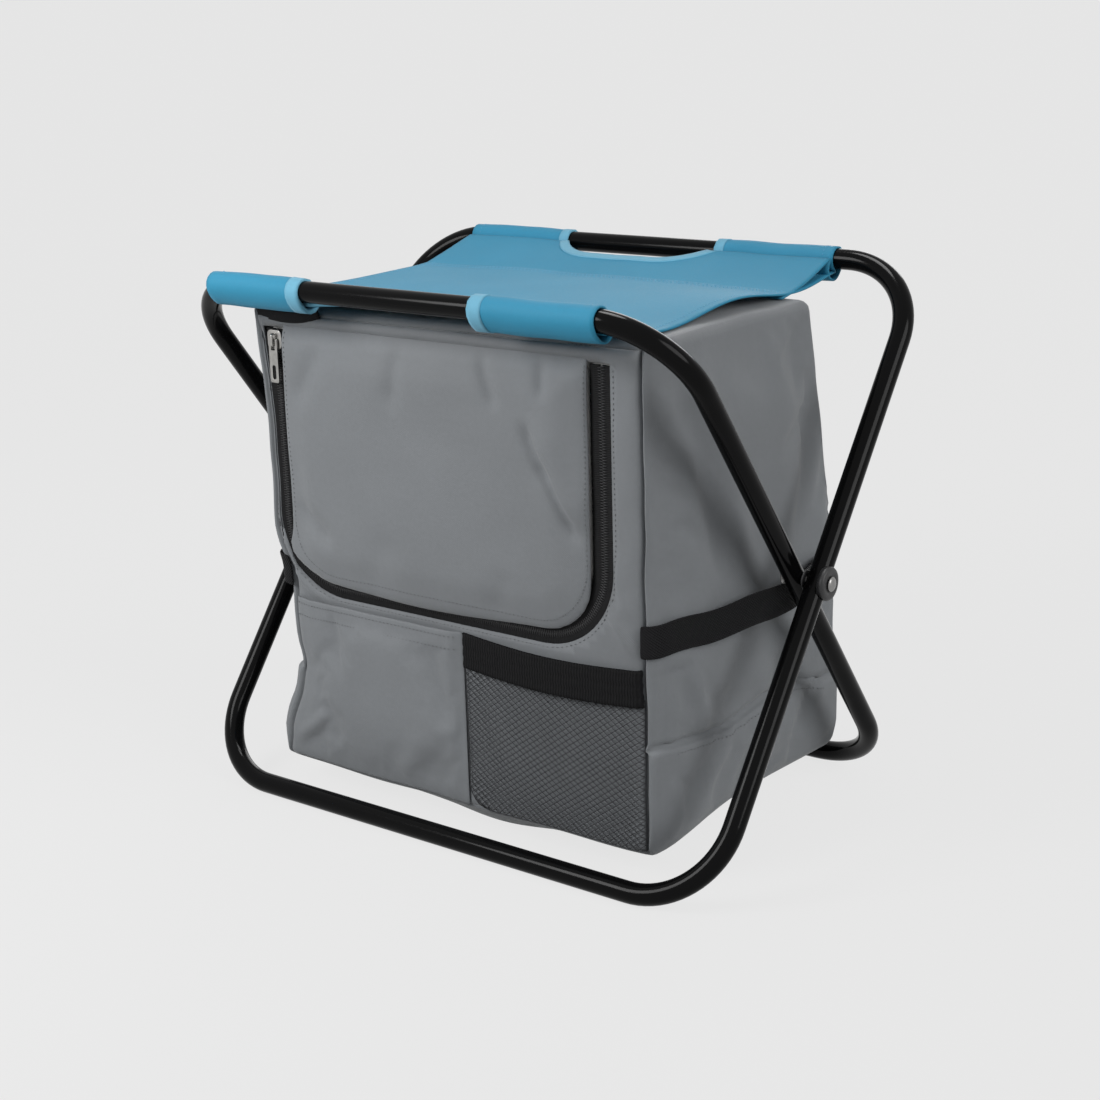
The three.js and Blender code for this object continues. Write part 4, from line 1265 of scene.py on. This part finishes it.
def zip_place(away, along):
    """A place this far outside the zip's line and this far along it, and the line's way there."""
    point, at = on_line(zip_line, along / ZIP_LENGTH)
    i = min(int(at), len(zip_line) - 2)
    way = (zip_line[i + 1] - zip_line[i]).normalized()
    x, z = point + Vector((way.y, -way.x)) * away
    return Vector((x + zip_bow(x, z), ZIP_Y, z)), Vector((way.x, 0, way.y))


def zip_tape(name, sign):
    """A zip tape on the outer or the inner side of the line, with a woven ridge along it."""
    def place(u, v):
        away = u + TAPE_WIDTH / 2 + TAPE_GAP
        return zip_place(sign * away, v)[0] - Vector((0, 0.0003 * bell(away, 0.0046, 0.0006), 0))
    made = laid(name, flat_cut(TAPE_WIDTH - 2 * TAPE_GAP, ZIP_LENGTH, TAPE_STEP), place)
    thicken(made, TAPE_THICK)
    return made


def zip_coils(name, sign):
    """A row of coils, each set half a pitch from its neighbours on the other tape."""
    bm = bmesh.new()
    for i in range(len(zip_line) - 1):
        middle, way = zip_place(sign * COIL_AWAY, (i + 0.5 + 0.25 * sign) * COIL_PITCH)
        coil = bmesh.ops.create_icosphere(bm, subdivisions=2, radius=1)["verts"]
        forward = Vector((0, 1, 0))
        rows = [axis * half for axis, half in zip((way.cross(forward), forward, way), COIL_HALF)]
        axes = Matrix(rows).transposed().to_4x4()
        bmesh.ops.transform(bm, matrix=Matrix.Translation(middle) @ axes, verts=coil)
    return mesh_object(name, bm)


def along_zip(made, away):
    """A row for stitches that follows the zip, this far outside its line."""
    count = round(ZIP_LENGTH / STITCH) * 2
    places = [zip_place(away, (i + 0.5) * ZIP_LENGTH / count)[0] for i in range(count)]
    return sewn_row(made, [Vector((p.x, -FAR, p.z)) for p in places], Vector((0, 1, 0)))


zip_cloth = Finish("zip_tape", "UV", Specular_IOR_Level=0.18)
zip_cloth.colour(zip_cloth.noise(0.008), (0.0040, 0.0040, 0.0045), (0.0080, 0.0080, 0.0085))
zip_cloth.drive("Roughness", 0.62 + zip_cloth.noise(0.004) * 0.2)
zip_cloth.bump(zip_cloth.axes()[1].waves(0.0011) + zip_cloth.noise(0.0006), 0.00015, 0.7)
nylon = Finish("zip_nylon", Specular_IOR_Level=0.4)
nylon.colour(nylon.noise(0.005), (0.010, 0.010, 0.011), (0.020, 0.020, 0.021))
nylon.drive("Roughness", 0.36 + nylon.noise(0.003) * 0.2)

rim_starts = [Vector((x, -FAR, RIM_ROW_Z)) for x in stitch_ends(-RIM_ROW_HALF, RIM_ROW_HALF)]
front_rows = [sewn_row(front, rim_starts, Vector((0, 1, 0))), along_zip(front, FRONT_ROW_AWAY)]
flap_rows = [along_zip(flap, FLAP_ROW_AWAY)]
front_thread = stitches("front_stitching", front_rows, gauge=0.00026, lift=0.0002)
flap_thread = stitches("flap_stitching", flap_rows, gauge=0.00026, lift=0.0002)
for end, sign, body, thread in (
    ("body", 1, "bag_front", front_thread),
    ("flap", -1, "flap", flap_thread),
):
    tape, coils = zip_tape("zip_tape." + end, sign), zip_coils("zip_coils." + end, sign)
    zip_cloth.on(tape)
    nylon.on(coils)
    thread_grey.on(thread)
    fixed(tape, body, "zip_tape", "zip_tape_" + end)
    fixed(coils, body, "zip_tape")
    fixed(thread, body, "bag_cloth")


# Zip slider and pull: die-cast zinc, plated. The pull hangs on the slider's bridge and has a slot
# near its lower end. Both keep the CAD form, with their edges eased.
SHARP = 0.6
CAST_EASE = 0.0003


def cad_copy(name, node, ease, cuts=None, shift=None):
    """A CAD piece made ready for a close look: welded, moved if asked, its edges eased."""
    bm = bmesh.new()
    bm.from_mesh(frame["nodes"][node].data)
    bmesh.ops.remove_doubles(bm, verts=bm.verts, dist=WELD)
    bmesh.ops.dissolve_limit(bm, angle_limit=0.02, verts=bm.verts, edges=bm.edges)
    if cuts:
        grid_cuts(bm, cuts)
        for vert in bm.verts:
            vert.co = shift(vert.co)
    sharp = [e for e in bm.edges if len(e.link_faces) == 2 and e.calc_face_angle() > SHARP]
    if ease:
        bmesh.ops.bevel(bm, geom=sharp, offset=ease, segments=2, profile=0.5, affect="EDGES",
                        material=-1, clamp_overlap=True)
    bmesh.ops.triangulate(bm, faces=[f for f in bm.faces if len(f.verts) > 4])
    return mesh_object(name, bm)


die_cast = Finish("die_cast", Metallic=1.0)
worn = die_cast.noise(0.003, detail=4)
die_cast.colour(worn, (0.30, 0.295, 0.285), (0.48, 0.47, 0.45))
die_cast.drive("Roughness", 0.22 + worn * 0.2)
for node in ("zip_slider", "zip_pull"):
    made = cad_copy(node + ".cast", node, CAST_EASE)
    made.data.set_sharp_from_angle(angle=SHARP)
    die_cast.on(made)
    fixed(made, node, "zip_metal", node)


# Flat pocket: a grey patch of the bag's cloth, sewn over the lower left of the front at its sides
# and foot. Its top is hemmed with two rows of grey thread.
POCKET_LOW_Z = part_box("flat_pocket")[0].z + 0.0025
POCKET_TOP_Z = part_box("flat_pocket")[1].z
POCKET_SPLIT_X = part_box("mesh_pocket")[0].x
POCKET_STEP = 0.0035
POCKET_OFF = 0.0013
POCKET_THICK = 0.0011
POCKET_SLACK = 0.0032
POCKET_ROWS = (0.0035, 0.0115)
POCKET_FOLDS = (
    ((-0.132, 0.034), (-0.106, 0.058), 0.0050, 0.0026),
    ((-0.126, 0.030), (-0.092, 0.046), 0.0060, -0.0018),
    ((-0.100, 0.126), (-0.094, 0.086), 0.0070, -0.0016),
    ((-0.040, 0.030), (-0.020, 0.062), 0.0080, 0.0016),
    ((-0.012, 0.118), (-0.004, 0.070), 0.0060, -0.0016),
)


def on_front_panel(x, z, lift):
    """A place on the front panel, as slack as the panel, and this far in front of it."""
    under = max(0, BAG_LOW.z + CORNER_ROUND - z)
    turn_in = CORNER_ROUND - math.sqrt(max(0, CORNER_ROUND ** 2 - under ** 2))
    return slumped((x, FRONT_Y + turn_in, z)) - Vector((0, lift, 0))


def pocket_place(x, z, off=POCKET_OFF):
    """A place on the flat pocket: slack at its top, pulled to its seams, with soft folds."""
    ends = smooth_step(x, -SEAM_X, -SEAM_X + 0.02)
    ends *= 1 - smooth_step(x, POCKET_SPLIT_X - 0.012, POCKET_SPLIT_X)
    lift = ends * POCKET_SLACK * smooth_step(z, POCKET_LOW_Z, POCKET_LOW_Z + 0.05)
    lift += folds(x, z, POCKET_FOLDS) + 0.0007 * noise.noise((x / 0.03, z / 0.035, 11.0))
    return on_front_panel(x, z, off + max(0, lift))


def pocket_sewn(place):
    """How firmly the pocket is held: at its ends and foot, and a little along its hem."""
    left = smooth_step(-place.x, 0.108, 0.118)
    right = smooth_step(place.x, POCKET_SPLIT_X - 0.008, POCKET_SPLIT_X - 0.002)
    foot = 1 - smooth_step(place.z, 0.020, 0.030)
    return max(left, right, foot, 0.35 * smooth_step(place.z, 0.118, 0.126), 0.02)


pocket_left, pocket_right = 0.001 - SEAM_X, POCKET_SPLIT_X - 0.0004
pocket_middle = (pocket_left + pocket_right) / 2
pocket_bm = flat_cut(pocket_right - pocket_left, POCKET_TOP_Z - POCKET_LOW_Z, POCKET_STEP)
pocket = laid("flat_pocket.cloth", pocket_bm,
              lambda u, v: pocket_place(u + pocket_middle, v + POCKET_LOW_Z))
settle(pocket, pocket_sewn, slack=0.010, pressure=0.8, cap=0.0025)
thicken(pocket, POCKET_THICK)
smoothed(pocket)
bag_polyester.on(pocket)
fixed(pocket, "bag_front", "bag_cloth", "flat_pocket")

pocket_rows = [
    [(pocket_place(x, POCKET_TOP_Z - drop, 0.0019), Vector((0, -1, 0)))
     for x in stitch_ends(0.004 - SEAM_X, POCKET_SPLIT_X - 0.004)] for drop in POCKET_ROWS
]
pocket_thread = stitches("pocket_stitching", pocket_rows, gauge=0.00028, lift=0.0003)
thread_grey.on(pocket_thread)
fixed(pocket_thread, "bag_front", "bag_cloth")


# Net pocket: knitted black diamond net, sewn at its sides and foot. Its top hangs from a wide
# ribbed elastic that draws the net's mouth to the bag.
NET_LOW_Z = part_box("mesh_pocket")[0].z + 0.0025
NET_TOP_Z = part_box("mesh_pocket")[1].z
NET_WIDE = 0.0054
NET_TALL = 0.0039
NET_STRAND = 0.0008
NET_CORNER = 0.014
NET_FLAT = (SEAM_X - POCKET_SPLIT_X - 0.001, NET_TOP_Z - NET_LOW_Z + 0.004)
NET_OFF = 0.0013
NET_SLACK = 0.0012
NET_RIPPLE = 0.0004
ELASTIC_LOW_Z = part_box("pocket_elastic")[0].z
ELASTIC_FLAT = (NET_FLAT[0] + 0.0005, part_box("pocket_elastic")[1].z - ELASTIC_LOW_Z)
ELASTIC_STEP = 0.0022
ELASTIC_THICK = 0.0014
ELASTIC_SAG = 0.0030
ELASTIC_OFF = 0.0022
ELASTIC_BOW = 0.0024
ELASTIC_RIB = 0.0004


def net_relief(x, z):
    """How far the net stands off the panel: slack in its middle, drawn in at its mouth."""
    across = (x - POCKET_SPLIT_X) / NET_FLAT[0]
    slack = math.sin(math.pi * min(max(across, 0), 1)) * smooth_step(z, NET_LOW_Z, NET_LOW_Z + 0.03)
    slack *= 1 - 0.9 * smooth_step(z, 0.070, NET_TOP_Z - 0.004)
    band = smooth_step(z, 0.03, 0.06) * (1 - smooth_step(z, 0.08, 0.1))
    ripple = band * max(0, math.sin(across * 17 + z * 60))
    return NET_OFF + slack * NET_SLACK + NET_RIPPLE * ripple


def net_left(z):
    """The net's left edge, rounded off towards its foot."""
    over = NET_CORNER - min(max(z - NET_LOW_Z, 0), NET_CORNER)
    return POCKET_SPLIT_X + NET_CORNER - math.sqrt(NET_CORNER ** 2 - over ** 2)


net_bm = flat_grid(*NET_FLAT, NET_WIDE, NET_TALL)
squares = [e for e in net_bm.edges if not e.is_boundary]
bmesh.ops.poke(net_bm, faces=net_bm.faces)
bmesh.ops.dissolve_edges(net_bm, edges=squares, use_verts=False)
bmesh.ops.wireframe(
    net_bm, faces=net_bm.faces, thickness=NET_STRAND, use_replace=True, use_boundary=True
)
keep_cut(net_bm)
for vert in net_bm.verts:
    z, strand = vert.co.y + NET_LOW_Z, vert.co.z
    x = max(vert.co.x + (POCKET_SPLIT_X + SEAM_X) / 2, net_left(z))
    vert.co = on_front_panel(x, z, net_relief(x, z) + strand)
net = mesh_object("net_pocket", net_bm)
net_yarn = Finish("net_yarn", Specular_IOR_Level=0.25)
net_yarn.colour(net_yarn.noise(0.02), (0.035, 0.036, 0.039), (0.055, 0.056, 0.060))
net_yarn.drive("Roughness", 0.6 + net_yarn.noise(0.002) * 0.2)
net_yarn.on(net)
fixed(net, "bag_front", "pocket_mesh", "mesh_pocket")


def elastic_place(u, v):
    """A place on the elastic: it bows off the bag, sags in its middle and is ribbed along."""
    x, z = u + POCKET_SPLIT_X + ELASTIC_FLAT[0] / 2, v + ELASTIC_LOW_Z
    across = math.sin(math.pi * (x - POCKET_SPLIT_X) / ELASTIC_FLAT[0])
    lift = ELASTIC_OFF + max(0, across) * ELASTIC_BOW + ELASTIC_RIB * math.sin(z * 900)
    return on_front_panel(x, z - ELASTIC_SAG * across, lift)


elastic = laid("pocket_elastic.knit", flat_cut(*ELASTIC_FLAT, ELASTIC_STEP), elastic_place)
thicken(elastic, ELASTIC_THICK)
elastic_knit = Finish("elastic_knit", "UV", Specular_IOR_Level=0.14)
knit = elastic_knit.axes()[0].waves(0.0019)
elastic_knit.colour(0.5 + knit * 0.4, (0.0030, 0.0030, 0.0035), (0.0065, 0.0065, 0.0070))
elastic_knit.drive("Roughness", 0.6 + elastic_knit.noise(0.003) * 0.25)
elastic_knit.bump(knit + elastic_knit.noise(0.0007) * 1.5, 0.0003, 0.8)
elastic_knit.on(elastic)
fixed(elastic, "bag_front", "webbing", "pocket_elastic")


# Side straps: black polyester webbing, sewn into the front seam, round the bag's corner and out
# over the legs, so that the bag hangs between them.
STRAP_LOW, STRAP_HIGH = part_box("side_strap_right")
STRAP_WIDTH = STRAP_HIGH.z - STRAP_LOW.z
STRAP_Z = (STRAP_HIGH.z + STRAP_LOW.z) / 2
STRAP_THICK = 0.0015
STRAP_STEP = 0.0029
STRAP_BOW_X = STRAP_HIGH.x - STRAP_THICK
STRAP_ROUND = 0.0101
STRAP_TURN_Y = FRONT_Y + 0.0085
STRAP_SIDE_X = SEAM_X + 0.0112
STRAP_SEWN_IN = 0.0035

webbing_cloth = Finish("webbing", "UV", Specular_IOR_Level=0.16)
across, along = webbing_cloth.axes()
twill = (across + along * 0.8).waves(0.0017)
webbing_cloth.colour(0.5 + twill * 0.3, (0.0035, 0.0035, 0.004), (0.0075, 0.0075, 0.0085))
webbing_cloth.drive("Roughness", 0.6 + webbing_cloth.noise(0.002) * 0.2)
webbing_cloth.bump(twill, 0.0003, 0.8)


def strap_line(lap):
    """A strap's path from above: its lap on the front, the corner, the bow and the back end."""
    front_y = FRONT_Y - 0.0016
    line = [Vector((SEAM_X - lap, front_y)), Vector((SEAM_X, front_y))]
    corner = Vector((SEAM_X + 0.0008, STRAP_TURN_Y))
    line += arc(corner, corner - Vector((0, STRAP_ROUND)), corner + Vector((STRAP_ROUND, 0)), 1)
    for i in range(1, 31):
        t = i / 30
        bow = (STRAP_BOW_X - STRAP_SIDE_X) * math.sin(math.pi * t) ** 1.4
        sewn_in = STRAP_SEWN_IN * smooth_step(t, 0.93, 1.0)
        y = STRAP_TURN_Y * (1 - t) + STRAP_HIGH.y * t
        line.append(Vector((STRAP_SIDE_X - sewn_in + bow, y)))
    points, length = evenly(line, 0.003)
    return relaxed(points, 4), length


def strap(side, sign, lap):
    """One side's strap, which waves a little and follows the slack left seam."""
    points, length = strap_line(lap)

    def place(u, v):
        (x, y), at = on_line(points, v / length)
        z = STRAP_Z + u + 0.0016 * noise.noise((y / 0.03, sign, 0.5)) + 0.003 * math.sin(at / 22)
        x = sign * (x + 0.0006 * noise.noise((y / 0.02, z / 0.01, sign)))
        return Vector((x + 0.7 * left_slack(x, y, z), y, z))

    made = laid("side_strap." + side, flat_cut(STRAP_WIDTH, length, STRAP_STEP), place)
    thicken(made, STRAP_THICK)
    smoothed(made)
    webbing_cloth.on(made)
    hang_on_bag(made, "webbing", "side_strap_" + side, keep=0.215)


strap("right", 1, lap=0.001)
strap("left", -1, lap=0.004)


# Tape loop: a short length of the straps' black webbing in a narrow width, sewn under the rim at
# the bag's top left and hanging slack.
LOOP_WIDTH = 0.0105
LOOP_THICK = 0.0010
LOOP_CUT_STEP = 0.0021
LOOP_TILT = Vector((0, -0.35, 0.94)) * 0.75
loop_points, LOOP_LENGTH = evenly([Vector(point) for point in (
    (-0.1440, -0.1032, 0.3172), (-0.1340, -0.1041, 0.3152), (-0.1210, -0.1047, 0.3143),
    (-0.1100, -0.1047, 0.3147), (-0.1000, -0.1041, 0.3162), (-0.0920, -0.1032, 0.3188),
)], 0.002)
loop_points = relaxed(loop_points, 6)
tape_loop = laid("tape_loop", flat_cut(LOOP_WIDTH, LOOP_LENGTH, LOOP_CUT_STEP),
                 lambda u, v: on_line(loop_points, v / LOOP_LENGTH)[0] + LOOP_TILT * u)
thicken(tape_loop, LOOP_THICK)
webbing_cloth.on(tape_loop)
fixed(tape_loop, "bag_front", "webbing")
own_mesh(tape_loop)


# Insulation: white foam boards cut to size and slipped in behind each panel. They follow the slack
# cloth round them.
BAG_MIDDLE = Vector((0, 0, (BAG_LOW.z + BAG_HIGH.z) / 2))
BOARD_SHRINK = 0.966
BOARD_STEP = 0.02
BOARD_EASE = 0.0010

foam_board = Finish("foam_board", Roughness=0.85)
foam_board.colour(foam_board.noise(0.004), (0.62, 0.62, 0.61), (0.72, 0.72, 0.70))
foam_board.bump(foam_board.noise(0.0015), 0.0003)


def inner(place):
    """A point of the straight inside, drawn in from the slack cloth round it."""
    x, y, z = BAG_MIDDLE + (place - BAG_MIDDLE) * BOARD_SHRINK
    return Vector((x + max(0, left_slack(x, y, z)), y, z))


def front_inner(place):
    drawn = inner(place)
    return Vector((drawn.x, place.y + 0.0012, drawn.z))


def back_inner(place):
    drawn = inner(place)
    return Vector((drawn.x * 0.95, drawn.y - 0.005, drawn.z))


for node in ("side_insulation_right", "side_insulation_left", "top_insulation", "base_insulation",
             "back_insulation"):
    shift = back_inner if node == "back_insulation" else inner
    board = cad_copy(node + ".board", node, BOARD_EASE, BOARD_STEP, shift)
    foam_board.on(board)
    hang_on_bag(board, "foam", node, keep=0.105)
front_board = cad_copy("front_insulation.board", "front_insulation", 0, BOARD_STEP, front_inner)
flap_board = cad_copy("flap_insulation.board", "flap_insulation", BOARD_EASE)
for board, body, node in (
    (front_board, "bag_front", "front_insulation"), (flap_board, "flap", "flap_insulation"),
):
    foam_board.on(board)
    fixed(board, body, "foam", node)


# Foil: a silver film that lines the compartment and the inside of the flap, welded at its seams
# and crinkled. It shows when the flap is open.
LINER_INSET = 0.0125
LINER_STEP = 0.007
LINER_THICK = 0.0006
LINING_TOP_Z = FLAP_TOP_Z - 0.004
LINING_LOW_Z = FLAP_LOW_Z + 0.005
LINING_IN = 0.003
LINING_EDGE = outline(FLAP_LEFT + LINING_IN, FLAP_RIGHT - LINING_IN, LINING_LOW_Z, corner=0.034)
LINING_FLAT = (2 * LINING_EDGE[2], LINING_TOP_Z - LINING_LOW_Z)
LINING_Y = (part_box("flap_lining")[0].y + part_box("flap_lining")[1].y) / 2
LINING_THICK = 0.0005

foil_film = Finish("foil_film", Metallic=0.9)
crinkle = foil_film.noise(0.014)
# The film's colour follows its crinkle, lighter on the crests and darker in the hollows of its
# bump: painted shade of the creases.
foil_film.colour(crinkle, (0.62, 0.63, 0.65), (0.76, 0.77, 0.78))
foil_film.drive("Roughness", 0.18 + crinkle * 0.25)
foil_film.bump(crinkle, 0.003, 0.6)


def crease(place):
    """Large and small creases of the film, about 1 high."""
    return noise.noise(place / 0.016) + 0.6 * noise.noise(place / 0.007)


def in_mouth(face):
    """True for a face of the liner's front that lies in the doorway."""
    middle = face.calc_center_median()
    in_door = round_box(middle.x, middle.z, doorway(0.009))[0] < 0
    return face.normal.y < -0.9 and middle.z < FLAP_TOP_Z and in_door


liner_bm = gridded_box(LINER_INSET, LINER_STEP)
without(liner_bm, [f for f in liner_bm.faces if in_mouth(f)])
for vert in liner_bm.verts:
    vert.co += vert.normal * 0.0007 * crease(vert.co)
    vert.co.y -= 0.003 * max(0, vert.normal.y)
    vert.co.x += max(0, left_slack(*vert.co)) * 1.15
liner = mesh_object("foil_liner.film", liner_bm)
thicken(liner, LINER_THICK)
lining_bm = flap_cut(LINING_EDGE, LINING_TOP_Z)
for vert in lining_bm.verts:
    vert.co.y = LINING_Y + 0.0005 * crease(vert.co)
lining = mesh_object("flap_lining.film", lining_bm)
thicken(lining, LINING_THICK)
foil_film.on(liner, lining)
hang_on_bag(liner, "foil", "foil_liner", keep=0.125)
fixed(lining, "flap", "foil", "flap_lining")
